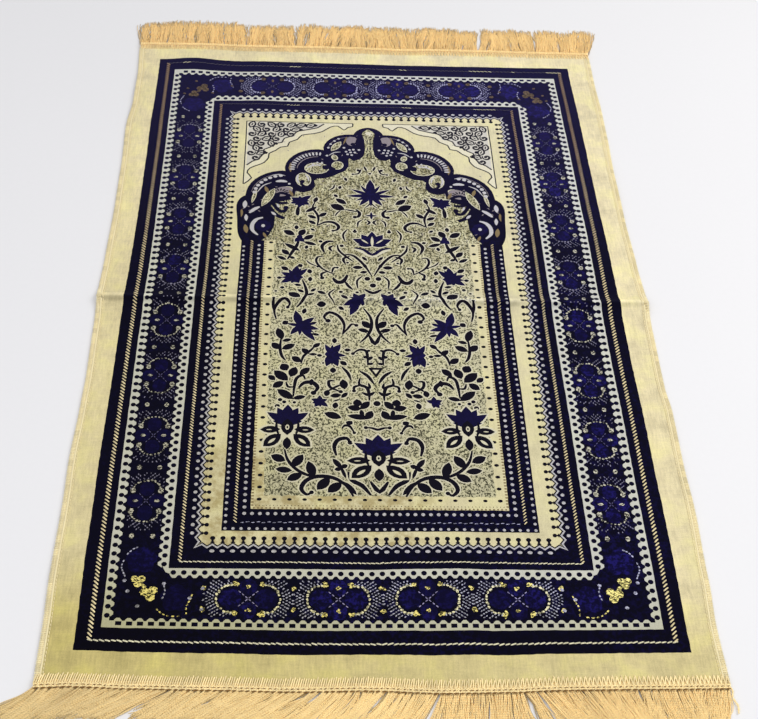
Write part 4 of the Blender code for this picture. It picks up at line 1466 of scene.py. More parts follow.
def add_object(name, mesh, materials):
    for material in materials:
        mesh.materials.append(material)
    piece = bpy.data.objects.new(name, mesh)
    bpy.context.scene.collection.objects.link(piece)
    return piece


RELIEF_STEP = 12.0
# How close the rows of points lie, by how far they are from the crease
RELIEF_ROWS = ((8.0, 1.8), (34.0, 3.4), (1000.0, 9.6))


def relief_points():
    """Points that let the inlaid cloth bend: a coarse grid, with close rows along the crease."""
    half_x, half_y = CLOTH_HALF_WIDTH / MM, CLOTH_LENGTH / 2 / MM
    middle = CREASE_Y / MM
    rows = []
    y = -half_y + RELIEF_STEP
    while y < half_y - 1.0:
        rows.append(y)
        y += next(step for reach, step in RELIEF_ROWS if abs(y - middle) < reach)
    places = spaced(half_x, round(2 * half_x / RELIEF_STEP))[1:-1]
    ring = [(x, -half_y) for x in places] + [(half_x, y) for y in rows]
    ring += [(x, half_y) for x in places[::-1]] + [(-half_x, y) for y in rows[::-1]]
    return [(x, y) for y in rows for x in places], ring


MERGED_UNDER = 0.01
TRIANGLES_INSIDE = 1


def inlay(outlines, spots):
    """Cuts the flat cloth along all outlines: its points, its triangles and the outline on top of each."""
    points, faces = [], []
    for outline in outlines:
        faces.append(list(range(len(points), len(points) + len(outline))))
        points += outline
    points += spots
    flat, _, triangles, _, _, covers = delaunay_2d_cdt(
        [Vector(p) for p in points], [], faces, TRIANGLES_INSIDE, MERGED_UNDER, True)
    frames = [frame_of(outline) for outline in outlines]
    tops = []
    for triangle, cover in zip(triangles, covers):
        middle = sum((flat[i] for i in triangle), Vector((0.0, 0.0))) / 3
        # the cutting also lists outlines that don't hold the triangle, so each is tried from the top
        for top in sorted(cover, reverse=True):
            x0, y0, x1, y1 = frames[top]
            if x0 <= middle.x <= x1 and y0 <= middle.y <= y1 and holds(outlines[top], middle):
                break
        else:
            top = 0
        tops.append(top)
    return flat, [list(triangle) for triangle in triangles], tops


def frame_of(outline):
    """The box round an outline: its lowest x and y, then its highest."""
    across, along = [p[0] for p in outline], [p[1] for p in outline]
    return min(across), min(along), max(across), max(along)


WHOLE_PATTERN_SHAPE = 60


def holds(outline, spot):
    """Whether a spot lies inside an outline. The long outlines are taken at their word."""
    if len(outline) > WHOLE_PATTERN_SHAPE:
        return True
    inside = False
    for (ax, ay), (bx, by) in zip(outline, outline[1:] + outline[:1]):
        if (ay > spot.y) != (by > spot.y) and spot.x < ax + (bx - ax) * (spot.y - ay) / (by - ay):
            inside = not inside
    return inside


def rim_of(triangles):
    """The outer loop of points of a sheet of triangles, in order."""
    edges = {(a, b) for t in triangles for a, b in zip(t, t[1:] + t[:1])}
    after = {a: b for a, b in edges if (b, a) not in edges}
    start = min(after)
    loop = [start]
    while after[loop[-1]] != start:
        loop.append(after[loop[-1]])
    return loop


WALL_YARN = "margin"
# The largest shapes of the pattern show through the back: half width, half length and yarn
BACK_SHAPES = (
    (NAVY_BLOCK, "back_dark"), (OUTER_LACE["flat"], "back"), (OUTER_LACE["line"], "back_dark"),
    (INNER_LACE["line"], "back"), (INNER_LACE["flat"], "back_dark"), (ZIGZAG, "back"),
)


def make_cloth(sizes, colours):
    """The pile cloth: the inlaid pattern on top, a plain back, and walls between them."""
    loom = woven_pattern()
    spots, ring = relief_points()
    flat, triangles, tops = inlay(loom.outlines, spots + ring)
    loop = rim_of(triangles)
    points = [settled(p.x * MM, p.y * MM, sizes.pile_height) for p in flat]
    yarns = [loom.yarns[top] for top in tops]
    # the back has the same rim
    back = Loom()
    back.weave("back", [[tuple(flat[i]) for i in loop]])
    for half, yarn in BACK_SHAPES:
        back.weave(yarn, [box(*half)])
    for (half, low), yarn in ((COLUMN_OUTER, "back_dark"), (COLUMN_INNER, "back")):
        back.weave(yarn, [rect(-half, low, half, FOOT_Y)])
    under, under_triangles, under_tops = inlay(back.outlines, spots[::2])
    under_loop = rim_of(under_triangles)
    first = len(points)
    points += [settled(p.x * MM, p.y * MM, 0.0) for p in under]
    faces = triangles + [[first + i for i in reversed(t)] for t in under_triangles]
    yarns += [back.yarns[top] for top in under_tops]
    slots = [0] * len(triangles) + [1] * len(under_triangles)
    places = {(round(under[i].x, 3), round(under[i].y, 3)): first + i for i in under_loop}
    below = [places[(round(flat[i].x, 3), round(flat[i].y, 3))] for i in loop]
    for i in range(len(loop)):
        j = (i + 1) % len(loop)
        faces.append([loop[j], loop[i], below[i], below[j]])
    yarns += [WALL_YARN] * len(loop)
    slots += [0] * len(loop)
    mesh = bpy.data.meshes.new("rug_pile_cloth")
    mesh.from_pydata(points, [], faces)
    mesh.polygons.foreach_set("material_index", slots)
    paint_yarns(mesh, yarns, colours)
    mesh.shade_smooth()
    piece = add_object("rug_pile_cloth", mesh, [velvet(colours), backing()])
    mesh.set_sharp_from_angle(angle=math.radians(50))
    return finish_piece(piece, "pile_velvet", "rug_cloth")


def paint_yarns(mesh, yarns, colours):
    """Gives every face corner its yarn's colour and nap."""
    tones = mesh.color_attributes.new("yarn", "FLOAT_COLOR", "CORNER")
    naps = mesh.color_attributes.new("nap", "FLOAT_COLOR", "CORNER")
    tone_values, nap_values = [], []
    for polygon, yarn in zip(mesh.polygons, yarns):
        kind = YARNS.get(yarn, {})
        tone_values += [*colours[kind.get("colour", yarn)], kind.get("metallic", 0.0)] * polygon.loop_total
        nap_values += [kind.get(name, 0.0) for name in NAP] * polygon.loop_total
    tones.data.foreach_set("color", tone_values)
    naps.data.foreach_set("color", nap_values)


STEEP = 1e-3


class Skein:
    """Collects lengths of yarn as one mesh: flat-sided tubes with a lay map and a tint."""

    def __init__(self, sides):
        self.sides = sides
        self.points = []
        self.faces = []
        self.lay = []
        self.tints = []

    def lay_yarn(self, path, radius, tint, flat=1.0, tips=0.35):
        """Adds a closed length of yarn along a path. Its radius may change on the way, flat squashes it."""
        sides, first = self.sides, len(self.points)
        last = len(path) - 1
        along = 0.0
        stations = []
        for i, middle in enumerate(path):
            ahead = path[min(i + 1, last)] - path[max(i - 1, 0)]
            if ahead.length < 1e-9:
                ahead = Vector((1.0, 0.0, 0.0))
            ahead.normalize()
            across = ahead.cross(Vector((0.0, 0.0, 1.0)))
            if across.length < STEEP:
                across = Vector((0.0, 1.0, 0.0)).cross(ahead)
            across.normalize()
            up = across.cross(ahead)
            size = radius(i / last) if callable(radius) else radius
            if i in (0, last):
                size *= tips
            if i:
                along += (middle - path[i - 1]).length / MM
            stations.append(along)
            for side in range(sides):
                angle = math.tau * (side + 0.5) / sides
                point = middle + across * (math.cos(angle) * size) + up * (math.sin(angle) * size * flat)
                self.points.append(tuple(point))
                self.tints.append(tint)
        for i in range(last):
            for side in range(sides):
                other = (side + 1) % sides
                a = first + i * sides
                b = a + sides
                self.faces.append((a + side, a + other, b + other, b + side))
                u0, u1 = side / sides, (side + 1) / sides
                v0, v1 = stations[i], stations[i + 1]
                self.lay += [(u0, v0), (u1, v0), (u1, v1), (u0, v1)]
        for base, turn in ((first, -1), (first + last * sides, 1)):
            ring = [base + side for side in range(sides)][::turn]
            self.faces.append(tuple(ring))
            self.lay += [(0.0, 0.0 if turn < 0 else along)] * sides

    def make(self, name, material):
        mesh = bpy.data.meshes.new(name)
        mesh.from_pydata(self.points, [], self.faces)
        lay = mesh.uv_layers.new(name="lay")
        lay.uv.foreach_set("vector", [value for pair in self.lay for value in pair])
        tint = mesh.attributes.new("tint", "FLOAT", "POINT")
        tint.data.foreach_set("value", self.tints)
        mesh.shade_smooth()
        mesh.validate()
        return add_object(name, mesh, [material])


def on_floor(x, y, z):
    return Vector(settled(x, y, z))


def shares(count):
    """The middles of equal parts of a whole, from 0 to 1."""
    return [(i + 0.5) / count for i in range(count)]


# The overcast yarn: its middle and half height, how far out it reaches, and how many turns are one length
OVERCAST_Z = 0.00182
OVERCAST_RISE = 0.00108
OVERCAST_REACH = 0.0029
TURNS_A_LENGTH = 4
STEPS_A_TURN = 8
SEAM_PITCH = 0.0046


def make_edge(name, side, sizes, material):
    """An overcast side edge: yarn wound closely round the cloth's edge, and a line of stitches beside it."""
    draw = random.Random(21 + side)
    skein = Skein(5)
    middle = side * (RUG_WIDTH / 2 - EDGE_WIDTH / 2)
    length = CLOTH_LENGTH - 0.001
    steps = round(length / sizes.overcast_pitch) * STEPS_A_TURN
    path = []
    for i in range(steps + 1):
        angle = math.tau * i / STEPS_A_TURN
        across = OVERCAST_REACH * math.cos(angle) * (1.0 + 0.05 * draw.uniform(-1, 1))
        up = OVERCAST_RISE * math.sin(angle)
        path.append(on_floor(middle + across, -length / 2 + length * i / steps, OVERCAST_Z + up))
    stride = STEPS_A_TURN * TURNS_A_LENGTH
    for start in range(0, len(path) - 1, stride):
        stretch = path[start:start + stride + 1]
        if len(stretch) > 2:
            skein.lay_yarn(stretch, sizes.overcast_radius, draw.uniform(0.1, 0.9), 0.8, 1.0)
    core = [on_floor(middle, -length / 2 + length * i / 60, OVERCAST_Z) for i in range(61)]
    skein.lay_yarn(core, 0.0021, 0.15, 0.45, 1.0)
    beside = side * (CLOTH_HALF_WIDTH + 0.0002)
    seam = [on_floor(beside, -length / 2 + length * i / 90, 0.0028) for i in range(91)]
    skein.lay_yarn(seam, 0.0013, 0.35, 0.55, 1.0)
    inner = side * (CLOTH_HALF_WIDTH - 0.0022)
    for share in shares(round(length / SEAM_PITCH)):
        y = length * (share - 0.5)
        wander = draw.uniform(-0.0002, 0.0002)
        stitch = []
        for t in (0.0, 0.25, 0.5, 0.75, 1.0):
            x = inner + wander + side * 0.00035 * (t - 0.5)
            stitch.append(on_floor(x, y + 0.0041 * (t - 0.5), 0.0030 + 0.0007 * math.sin(math.pi * t)))
        skein.lay_yarn(stitch, 0.00050, draw.uniform(0.3, 0.7), 0.7)
    return finish_piece(skein.make(f"overcast_{name}", material), "edge_yarn", f"edge_{name}")


HEADING_MIDDLE = CLOTH_LENGTH / 2 + SEWN_GAP + HEADING_WIDTH / 2
HEADING_LENGTH = RUG_WIDTH - 0.0012
TAPE_LINES = 5
CHAIN_ROWS = (0.0060, 0.0088)
# The rows of painted shadow in the holes of the near chain: how far past the cloth, pitch, length and radius
GAP_SHADOW_ROWS = ((0.0074, 0.0056, 0.0030, 0.00078), (0.0106, RUG_WIDTH / LOCKS, 0.0055, 0.00110))
LOOSE_TAIL = ((347, -560), (351, -566), (349.5, -574), (353, -583), (352, -592))


def make_heading(end, sizes, material, shadow):
    """The fringe's heading: a tape under slanting stitches, and two rows of chain at its outer rim."""
    draw = random.Random(31 + end["side"])
    side = end["side"]
    skein = Skein(6)
    for row in range(TAPE_LINES):
        y = side * (HEADING_MIDDLE - HEADING_WIDTH * 0.40 + HEADING_WIDTH * 0.80 * row / (TAPE_LINES - 1))
        tape = [on_floor(HEADING_LENGTH * (i / 90 - 0.5), y, 0.00165) for i in range(91)]
        skein.lay_yarn(tape, 0.00150, 0.1, 0.95, 0.8)
    for i, share in enumerate(shares(round(HEADING_LENGTH / sizes.stitch_pitch))):
        x = HEADING_LENGTH * (share - 0.5)
        reach = draw.uniform(0.0106, 0.0124) if i % 2 else draw.uniform(0.0096, 0.0110)
        slant = 0.0026 + draw.uniform(-0.0005, 0.0005) - (i % 2) * 0.0044 * eased((x + 0.10) / 0.35)
        stitch = []
        for t in (0.0, 0.12, 0.35, 0.65, 0.88, 1.0):
            y = CLOTH_LENGTH / 2 + 0.0052 - reach * t
            height = 0.0032 + 0.0008 * math.sin(math.pi * t) ** 0.6
            stitch.append(on_floor(x + slant * (t - 0.5), side * y, height))
        skein.lay_yarn(stitch, 0.00072, draw.uniform(0.1, 1.2), 0.85)
    for row in CHAIN_ROWS:
        for share in shares(round(HEADING_LENGTH / sizes.chain_pitch)):
            x = HEADING_LENGTH * (share - 0.5) + draw.uniform(-0.0002, 0.0002)
            y = side * (CLOTH_LENGTH / 2 + row)
            for arm in (-1, 1):
                link = []
                for t in (0.0, 0.2, 0.5, 0.8, 1.0):
                    bow = arm * 0.00085 * math.sin(math.pi * t)
                    height = 0.0036 + 0.0006 * math.sin(math.pi * t)
                    link.append(on_floor(x + 0.0036 * (t - 0.5), y + bow, height))
                skein.lay_yarn(link, 0.00054, draw.uniform(0.6, 1.4), 0.85)
    if end["name"] == "near":
        # the chain's thread hangs loose past the last stitch
        for twist in (-0.0005, 0.0005):
            tail = []
            for i, (x, y) in enumerate(smooth(LOOSE_TAIL, 4)):
                x, y = x / 1000.0 + twist * math.cos(i * 1.4), y / 1000.0
                tail.append(on_floor(x, y, 0.0016 + twist * math.sin(i * 1.4)))
            skein.lay_yarn(tail, 0.00062, 0.9, 1.0)
        make_holes(draw, end, shadow)
    return finish_piece(skein.make(f"heading_{end['name']}", material), "edge_yarn", f"fringe_{end['name']}")


def make_holes(draw, end, shadow):
    """Dark pieces laid as painted shadow in the holes of the near heading's chain, in two rows."""
    holes = Skein(5)
    for row, pitch, long, thick in GAP_SHADOW_ROWS:
        for share in shares(round(HEADING_LENGTH / pitch)):
            x = HEADING_LENGTH * (share - 0.5) + draw.uniform(-0.0005, 0.0005)
            y = end["side"] * (CLOTH_LENGTH / 2 + row)
            reach = long * draw.uniform(0.75, 1.15)
            hole = [on_floor(x + reach * (t - 0.5), y + 0.0007 * (t - 0.5), 0.0045) for t in (0.0, 0.5, 1.0)]
            holes.lay_yarn(hole, thick * draw.uniform(0.8, 1.1), 0.0, 0.6)
    finish_piece(holes.make(f"chain_holes_{end['name']}", shadow), "edge_yarn", f"fringe_{end['name']}")


def drawn_to(x, partings):
    """The middle of the group of locks that a place belongs to."""
    borders = (-RUG_WIDTH / 2, *partings, RUG_WIDTH / 2)
    low = max(border for border in borders if border <= x)
    high = min(border for border in borders if border > x)
    return (low + high) / 2


ROOT_Y = CLOTH_LENGTH / 2 + SEWN_GAP + HEADING_WIDTH - 0.0010
YARN_STEPS = 10
UNDER_YARNS = 5


def make_fringe(end, sizes, material):
    """A fringe of loose yarns, gathered into locks at their roots and lying on the floor."""
    draw = random.Random(41 + end["side"])
    side = end["side"]
    skein = Skein(3)
    pitch = RUG_WIDTH / LOCKS
    radius = sizes.fringe_radius
    for lock in range(LOCKS):
        root = (lock + 0.5) * pitch - RUG_WIDTH / 2
        lean = read_off(end["lie"], "x", root, "lean") + draw.gauss(0.0, 2.2)
        length = FRINGE_LENGTH * read_off(end["lie"], "x", root, "length")
        length *= 1.0 + draw.uniform(-0.07, 0.07)
        pull = DRAWN_IN * (drawn_to(root, end["partings"]) - root)
        # painted shade: the near fringe is painted darker towards the left
        lit = 0.85 * eased((root + 0.30) / 0.35) - 0.35 if side < 0 else 0.25
        lock_tint = draw.uniform(0.0, 0.35) + lit
        bend = draw.gauss(0.0, 0.0022)
        frizz = 1.0 + end["frizz"] * eased((root - 0.20) / 0.14)
        curl, curl_phase = draw.uniform(0.0, 0.0022) * (frizz - 1.0), draw.uniform(0.0, math.tau)
        for yarn in range(sizes.yarns_in_lock):
            stray = draw.random() < 0.10
            angle = math.radians(lean + draw.gauss(0.0, 9.0 if stray else 3.0))
            reach = length * draw.uniform(0.88, end["longest"])
            # a lock's last yarns lie lowest and spread widest, so little floor shows between the locks
            under = yarn >= sizes.yarns_in_lock - UNDER_YARNS
            spot = draw.uniform(-1.0, 1.0) if under else draw.uniform(-0.5, 0.5)
            layer = 0.0 if under else draw.random()
            wave, phase = draw.uniform(0.0004, 0.0014) * frizz, draw.uniform(0.0, math.tau)
            waves = draw.uniform(1.0, 3.2)
            bow = bend + draw.gauss(0.0, 0.0011)
            path = []
            for i in range(YARN_STEPS + 1):
                t = i / YARN_STEPS
                across = spot * pitch * (0.80 + 0.95 * t) + bow * math.sin(math.pi * t)
                curled = curl * math.sin(curl_phase + 9.5 * t)
                across += (wave * math.sin(phase + waves * math.tau * t) + curled) * t
                along = reach * t
                leaning = along * math.sin(angle) * t ** (LEAN_CURVE - 1.0)
                x = root + leaning + pull * t + across * math.cos(angle)
                y = ROOT_Y + along * math.cos(angle) - across * math.sin(angle) * t
                fall = 1.0 - eased(t / 0.45)
                z = radius + layer * (0.0006 + 0.0014 * (1.0 - t)) + fall * (0.0006 + 0.0009 * layer)
                path.append(on_floor(x, side * y, z))
            # the under yarns are tinted dark as painted shade between the locks
            tint = -1.0 if under else min(1.0, lock_tint + draw.uniform(-0.1, 0.5))
            skein.lay_yarn(path, lambda t: radius * (1.0 - 0.22 * t), tint, 1.0, 0.6)
    piece = skein.make(f"fringe_yarns_{end['name']}", material)
    return finish_piece(piece, "fringe_yarn", f"fringe_{end['name']}")


# The cords, in mm: where each runs, how far, and the length, width, pitch and slant of its floats
SIDE_CORDS = table("x low high length width pitch slant",
    (301.8, -508, 508, 7.4, 2.1, 4.9, 44), (216.5, -410, 409, 5.8, 1.8, 4.3, 44),
    (160.1, -358, 104, 5.4, 1.6, 4.3, 44),
)
END_CORDS = table("y half length width pitch slant",
    (509.6, 301, 6.9, 1.9, 6, 15), (411.6, 215, 5.6, 1.5, 4.9, 14),
)


# The far lines are mostly painted dim, as metal that catches no light: floats stay bright, a painted
# reflection, where a slow wave is higher than this
FAR_LINE_LIT_ABOVE = 1.35


def lay_float(skein, x, y, length, width, slant, tint):
    """One float of metallic yarn lying on the pile."""
    u, v = towards(slant)
    path = []
    for t in (-0.5, -0.36, 0.0, 0.36, 0.5):
        rise = 0.00035 * (1.0 - (2 * t) ** 2)
        path.append(on_floor((x + u * length * t) * MM, (y + v * length * t) * MM, 0.0029 + rise))
    skein.lay_yarn(path, width / 2 * MM, tint, 0.5, 0.3)


def make_cords(materials):
    """The gold cords on the navy bands, as slanting floats, and the finer pale lines across the ends."""
    draw = random.Random(51)
    gold, silver, dim = Skein(6), Skein(6), Skein(6)
    for cord in SIDE_CORDS:
        count = round((cord["high"] - cord["low"]) / cord["pitch"])
        for i in range(count + 1):
            y = cord["low"] + (cord["high"] - cord["low"]) * i / count
            for side in (-1, 1):
                slant = side * (cord["slant"] + draw.uniform(-4, 4))
                length = cord["length"] * draw.uniform(0.90, 1.05)
                width = cord["width"] * draw.uniform(0.85, 1.05)
                lay_float(gold, side * cord["x"], y, length, width, slant, draw.random())
    for cord in END_CORDS:
        for x in spaced(cord["half"], round(2 * cord["half"] / cord["pitch"])):
            for end in (-1, 1):
                # painted reflection: the far floats are bright only where the wave is high, more of them
                # towards the right
                lit_above = FAR_LINE_LIT_ABOVE - 0.9 * eased((x - 60.0) / 60.0)
                unlit = end > 0 and math.sin(x / 23.0) + math.sin(x / 9.0 + 1.0) < lit_above
                skein = dim if unlit else silver
                width = cord["width"] * (1.0 if end < 0 else 0.6)
                slant = (-1 if x * end > 0 else 1) * cord["slant"] + draw.uniform(-5, 5)
                y = end * cord["y"] + draw.uniform(-0.3, 0.3)
                length = cord["length"] * draw.uniform(0.8, 1.05)
                lay_float(skein, x, y, length, width, slant, draw.random())
    names = ("gold_cords", "silver_lines", "dim_lines")
    for name, skein, material in zip(names, (gold, silver, dim), materials):
        finish_piece(skein.make(name, material), "pile_velvet", "rug_cloth")


# ---- the add-on


def fine_size(name, description, default, lowest, highest):
    return FloatProperty(name=name, description=description, default=default, min=lowest, max=highest,
                         unit="LENGTH")


class RugSizes(bpy.types.PropertyGroup):
    """The rug's fine sizes."""

    pile_height: fine_size("Pile Height", "Thickness of the cloth with its pile", 0.0030, 0.001, 0.006)
    overcast_pitch: fine_size(
        "Overcast Pitch", "From one turn of the edge yarn to the next", 0.0022, 0.001, 0.006)
    overcast_radius: fine_size(
        "Overcast Yarn", "Radius of the yarn round the side edges", 0.00078, 0.0003, 0.002)
    stitch_pitch: fine_size(
        "Stitch Pitch", "From one slanting heading stitch to the next", 0.0023, 0.001, 0.01)
    chain_pitch: fine_size(
        "Chain Pitch", "From one link of the heading's chain to the next", 0.0033, 0.002, 0.01)
    fringe_radius: fine_size("Fringe Yarn", "Radius of one yarn of the fringe", 0.00060, 0.0002, 0.001)
    yarns_in_lock: IntProperty(
        name="Yarns in a Lock", description="How many yarns hang from each lock of the fringe",
        default=27, min=6, max=30)


def tone(name, description, default):
    return FloatVectorProperty(name=name, description=description, default=default, size=3, min=0.0, max=1.0,
                               subtype="COLOR")


class RugColours(bpy.types.PropertyGroup):
    """The rug's yarn colours."""

    margin: tone("Margin", "Brushed cream pile round the border", (0.78, 0.68, 0.34))
    panel: tone("Panel", "Plain cream pile inside the border", (0.68, 0.615, 0.312))
    halo: tone("Halo", "Cream pile round the flowers", (0.66, 0.62, 0.38))
    lace: tone("Lace", "Pale scalloped lace", (0.575, 0.57, 0.415))
    pearl: tone("Pearl", "White beads of the arch", (0.52, 0.50, 0.41))
    tan: tone("Tan", "Brownish shading of the arch", (0.22, 0.16, 0.065))
    dusk: tone("Dusk", "Pinkish grey inside the curls of the arch", (0.27, 0.23, 0.20))
    frame: tone("Frame", "Cream frame of the corner panels", (0.72, 0.67, 0.40))
    spandrel: tone("Spandrel", "Pale pile of the corner panels", (0.60, 0.57, 0.40))
    lace_line: tone("Lace Line", "Thin dark lines of the corner panels", (0.022, 0.020, 0.022))
    ground: tone("Ground", "Cream of the speckled field", (0.64, 0.60, 0.325))
    olive: tone("Olive", "Darkest speckles", (0.030, 0.030, 0.016))
    olive_light: tone("Light Olive", "Streaks of the field", (0.205, 0.175, 0.062))
    navy: tone("Navy", "Dark pile of the border", (0.0030, 0.0026, 0.0080))
    # painted sheen that the navy pile gains towards the far end
    navy_far: tone("Navy Shine", "What the navy pile gains at the far end", (0.010, 0.008, 0.034))
    indigo: tone("Indigo", "Dark blue pile of the medallions", (0.0040, 0.0032, 0.020))
    flower: tone("Flower", "Dark blue pile of the field's flowers", (0.0070, 0.0055, 0.0260))
    # partly the blue of the pile, partly painted sheen
    blue_glint: tone("Blue Glint", "What glints in the dark blue pile", (0.0080, 0.0060, 0.0850))
    ink: tone("Ink", "Nearly black pile of the leaves", (0.0060, 0.0050, 0.0090))
    gold: tone("Gold", "Metallic gold yarn", (0.76, 0.66, 0.20))
    pale_gold: tone("Pale Gold", "Metallic yarn along the sides", (0.42, 0.40, 0.26))
    bright_arc: tone("Bright Arc", "Metallic arcs at the near end", (0.74, 0.70, 0.40))
    side_arc: tone("Side Arc", "Fine metallic floats along the sides", (0.21, 0.20, 0.23))
    amber: tone("Amber", "Metallic blobs at the far end", (0.13, 0.09, 0.05))
    far_arc: tone("Far Arc", "Metallic arcs at the far end", (0.36, 0.35, 0.42))
    silver: tone("Silver", "White metallic yarn", (0.49, 0.475, 0.40))
    floss: tone("Floss", "Fine silver floats of the medallion band", (0.44, 0.44, 0.48))
    lilac: tone("Lilac", "Thin lines of the near medallions", (0.34, 0.31, 0.46))
    lilac_dim: tone("Dim Lilac", "Thin lines of the other medallions", (0.10, 0.09, 0.16))
    back: tone("Back", "Plain yarn of the underside", (0.50, 0.42, 0.28))
    back_dark: tone("Back Shadow", "Where navy pile shows through the underside", (0.20, 0.17, 0.15))
    side_edge: tone("Side Edge Yarn", "Overcast side edges", (0.91, 0.80, 0.48))
    edge: tone("Heading Yarn", "Stitches and chain of the headings", (0.98, 0.80, 0.42))
    # painted shadow: the dark yarn laid in the chain's holes
    hole: tone("Chain Holes", "Shadowed holes of the chain", (0.26, 0.13, 0.022))
    edge_shadow: tone("Edge Yarn Shadow", "Between the plies of the edge yarn", (0.62, 0.42, 0.16))
    fringe: tone("Fringe", "Silky yarn of the fringe", (1.0, 0.745, 0.335))
    fringe_shadow: tone("Fringe Shadow", "Between the plies of the fringe yarn", (0.72, 0.46, 0.16))
    cord_gold: tone("Cord Gold", "Gold of the side cords", (0.80, 0.68, 0.38))
    cord_silver: tone("Cord Silver", "Pale gold of the end lines", (0.76, 0.71, 0.48))
    cord_dim: tone("Dim Cord", "The worn lines at the far end", (0.045, 0.036, 0.060))
    floor: tone("Floor", "The pale floor", (0.86, 0.86, 0.87))


def palette(context):
    """The colours as plain tuples, by name."""
    colours = context.scene.rug_colours
    return {name: tuple(getattr(colours, name)) for name in RugColours.__annotations__}


# Between the plies of the metallic yarns
GOLD_SHADOW = (0.30, 0.16, 0.05)
SILVER_SHADOW = (0.30, 0.26, 0.18)
DIM_SHADOW = (0.02, 0.015, 0.05)
# What the yarns' colours turn to towards the far end; the gold turns dim there as a painted reflection
GOLD_FAR_AWAY = (0.34, 0.22, 0.12)
HEADING_FAR_AWAY = (0.98, 0.745, 0.36)
FRINGE_FAR_AWAY = (1.0, 0.70, 0.285)


class RUG_OT_pile_cloth(bpy.types.Operator):
    """Weave the pile cloth with its inlaid pattern and its plain back"""

    bl_idname = "rug.pile_cloth"
    bl_label = "Pile Cloth"

    def execute(self, context):
        make_cloth(context.scene.rug_sizes, palette(context))
        return {"FINISHED"}


class RUG_OT_cords(bpy.types.Operator):
    """Lay the gold cords and silver lines on the border"""

    bl_idname = "rug.cords"
    bl_label = "Metallic Cords"

    def execute(self, context):
        colours = palette(context)
        gold = spun_yarn("cord_gold", colours["cord_gold"], GOLD_SHADOW, 1.6, 0.38, 0.35, GOLD_FAR_AWAY)
        silver = spun_yarn("cord_silver", colours["cord_silver"], SILVER_SHADOW, 1.6, 0.36, 0.35)
        dim = spun_yarn("cord_dim", colours["cord_dim"], DIM_SHADOW, 1.6, 0.5, 0.1)
        make_cords((gold, silver, dim))
        return {"FINISHED"}


class RUG_OT_edges(bpy.types.Operator):
    """Overcast both side edges and sew the two headings"""

    bl_idname = "rug.edges"
    bl_label = "Sewn Edges"

    def execute(self, context):
        colours, sizes = palette(context), context.scene.rug_sizes
        dark = colours["edge_shadow"]
        sides = spun_yarn("side_edge_yarn", colours["side_edge"], dark, 1.5, 0.75)
        ends = spun_yarn("heading_yarn", colours["edge"], dark, 1.5, 0.72, 0.0, HEADING_FAR_AWAY)
        shadow = spun_yarn("chain_hole", colours["hole"], colours["hole"], 1.5, 0.9)
        make_edge("left", -1, sizes, sides)
        make_edge("right", 1, sizes, sides)
        for end in ENDS:
            make_heading(end, sizes, ends, shadow)
        return {"FINISHED"}


class RUG_OT_fringes(bpy.types.Operator):
    """Hang the fringe yarns at both ends"""

    bl_idname = "rug.fringes"
    bl_label = "Fringes"

    def execute(self, context):
        colours = palette(context)
        dark = colours["fringe_shadow"]
        material = spun_yarn("fringe_yarn", colours["fringe"], dark, 2.6, 0.50, 0.0, FRINGE_FAR_AWAY)
        for end in ENDS:
            make_fringe(end, context.scene.rug_sizes, material)
        return {"FINISHED"}


CAMERA = {"from": (-0.0632, -1.2847, 1.2224), "at": (0.0209, -0.1068, 0.0), "roll": 3.694, "lens": 65.73}
LIGHTS = (
    {"name": "window", "from": (2.0, 0.3, 2.1), "size": 2.2, "power": 42.0, "colour": (1.0, 0.98, 0.95)},
    {"name": "fill", "from": (-1.2, -1.7, 2.4), "size": 2.6, "power": 27.0, "colour": (0.98, 0.98, 1.0)},
)
SKY = (0.97, 0.97, 1.0)
SKY_STRENGTH = 0.56
FLOOR_SIZE = 14.0
FLOOR_Z = -0.0002


def set_up(name, data, place, at, roll=0.0):
    """Adds a light or a camera, aimed at a point and rolled by degrees."""
    item = bpy.data.objects.new(name, data)
    item.location = place
    item.rotation_mode = "QUATERNION"
    aim = (Vector(at) - Vector(place)).to_track_quat("-Z", "Y")
    item.rotation_quaternion = aim @ Quaternion((0.0, 0.0, 1.0), math.radians(roll))
    bpy.context.scene.collection.objects.link(item)
    return item


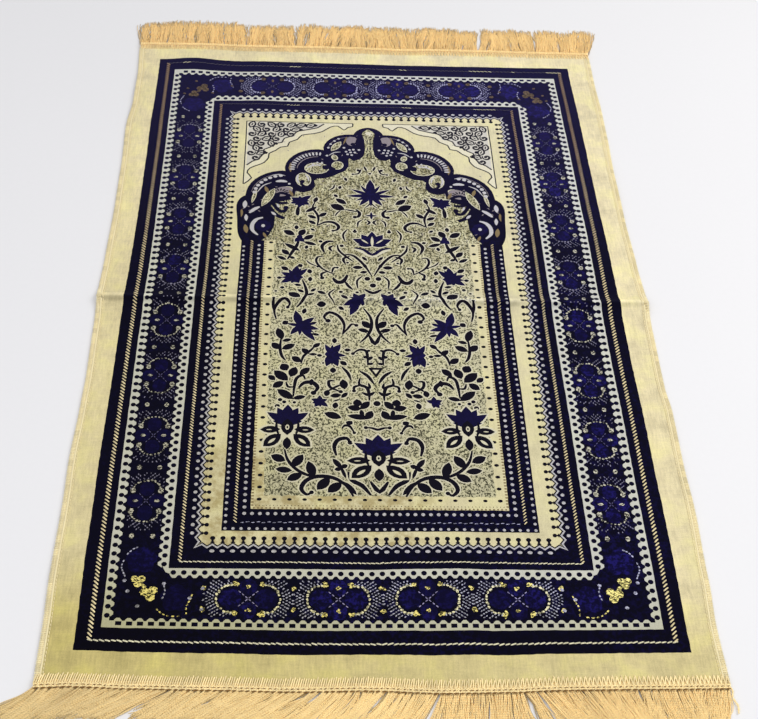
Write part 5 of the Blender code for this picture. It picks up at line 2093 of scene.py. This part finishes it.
class RUG_OT_stage(bpy.types.Operator):
    """Add the pale floor, the soft lights and the camera"""

    bl_idname = "rug.stage"
    bl_label = "Stage"

    def execute(self, context):
        scene = context.scene
        for item in context.selected_objects:
            item.select_set(False)
        bpy.ops.mesh.primitive_plane_add(size=FLOOR_SIZE, location=(0.0, 0.0, FLOOR_Z))
        floor = context.active_object
        floor.name = "floor"
        floor.data.materials.append(floor_paint(palette(context)))
        for row in LIGHTS:
            data = bpy.data.lights.new(row["name"], "AREA")
            data.shape = "DISK"
            data.size = row["size"]
            data.energy = row["power"]
            data.color = row["colour"]
            set_up(row["name"], data, row["from"], (0.0, 0.0, 0.0))
        world = bpy.data.worlds.new("soft_room")
        world.use_nodes = True
        sky = world.node_tree.nodes["Background"]
        sky.inputs["Color"].default_value = (*SKY, 1.0)
        sky.inputs["Strength"].default_value = SKY_STRENGTH
        scene.world = world
        scene.view_settings.view_transform = "Standard"
        data = bpy.data.cameras.new("camera")
        data.lens = CAMERA["lens"]
        data.sensor_width = 36.0
        data.dof.use_dof = False
        data.clip_start = 0.05
        data.clip_end = 60.0
        scene.camera = set_up("camera", data, CAMERA["from"], CAMERA["at"], CAMERA["roll"])
        return {"FINISHED"}


OPERATORS = (RUG_OT_pile_cloth, RUG_OT_cords, RUG_OT_edges, RUG_OT_fringes, RUG_OT_stage)


class RUG_PT_sidebar(bpy.types.Panel):
    """Lists the rug's sizes, colours and steps"""

    bl_idname = "RUG_PT_sidebar"
    bl_label = "Prayer Rug"
    bl_space_type = "VIEW_3D"
    bl_region_type = "UI"
    bl_category = "Rug"

    def draw(self, context):
        column = self.layout.column()
        for name in RugSizes.__annotations__:
            column.prop(context.scene.rug_sizes, name)
        for name in RugColours.__annotations__:
            column.prop(context.scene.rug_colours, name)
        for operator in OPERATORS:
            column.operator(operator.bl_idname)


CLASSES = (RugSizes, RugColours, *OPERATORS, RUG_PT_sidebar)


def register():
    for cls in CLASSES:
        bpy.utils.register_class(cls)
    bpy.types.Scene.rug_sizes = PointerProperty(type=RugSizes)
    bpy.types.Scene.rug_colours = PointerProperty(type=RugColours)


def unregister():
    del bpy.types.Scene.rug_colours
    del bpy.types.Scene.rug_sizes
    for cls in reversed(CLASSES):
        bpy.utils.unregister_class(cls)


def main():
    register()
    bpy.ops.rug.pile_cloth()
    bpy.ops.rug.cords()
    bpy.ops.rug.edges()
    bpy.ops.rug.fringes()
    bpy.ops.rug.stage()


if __name__ == "__main__":
    main()
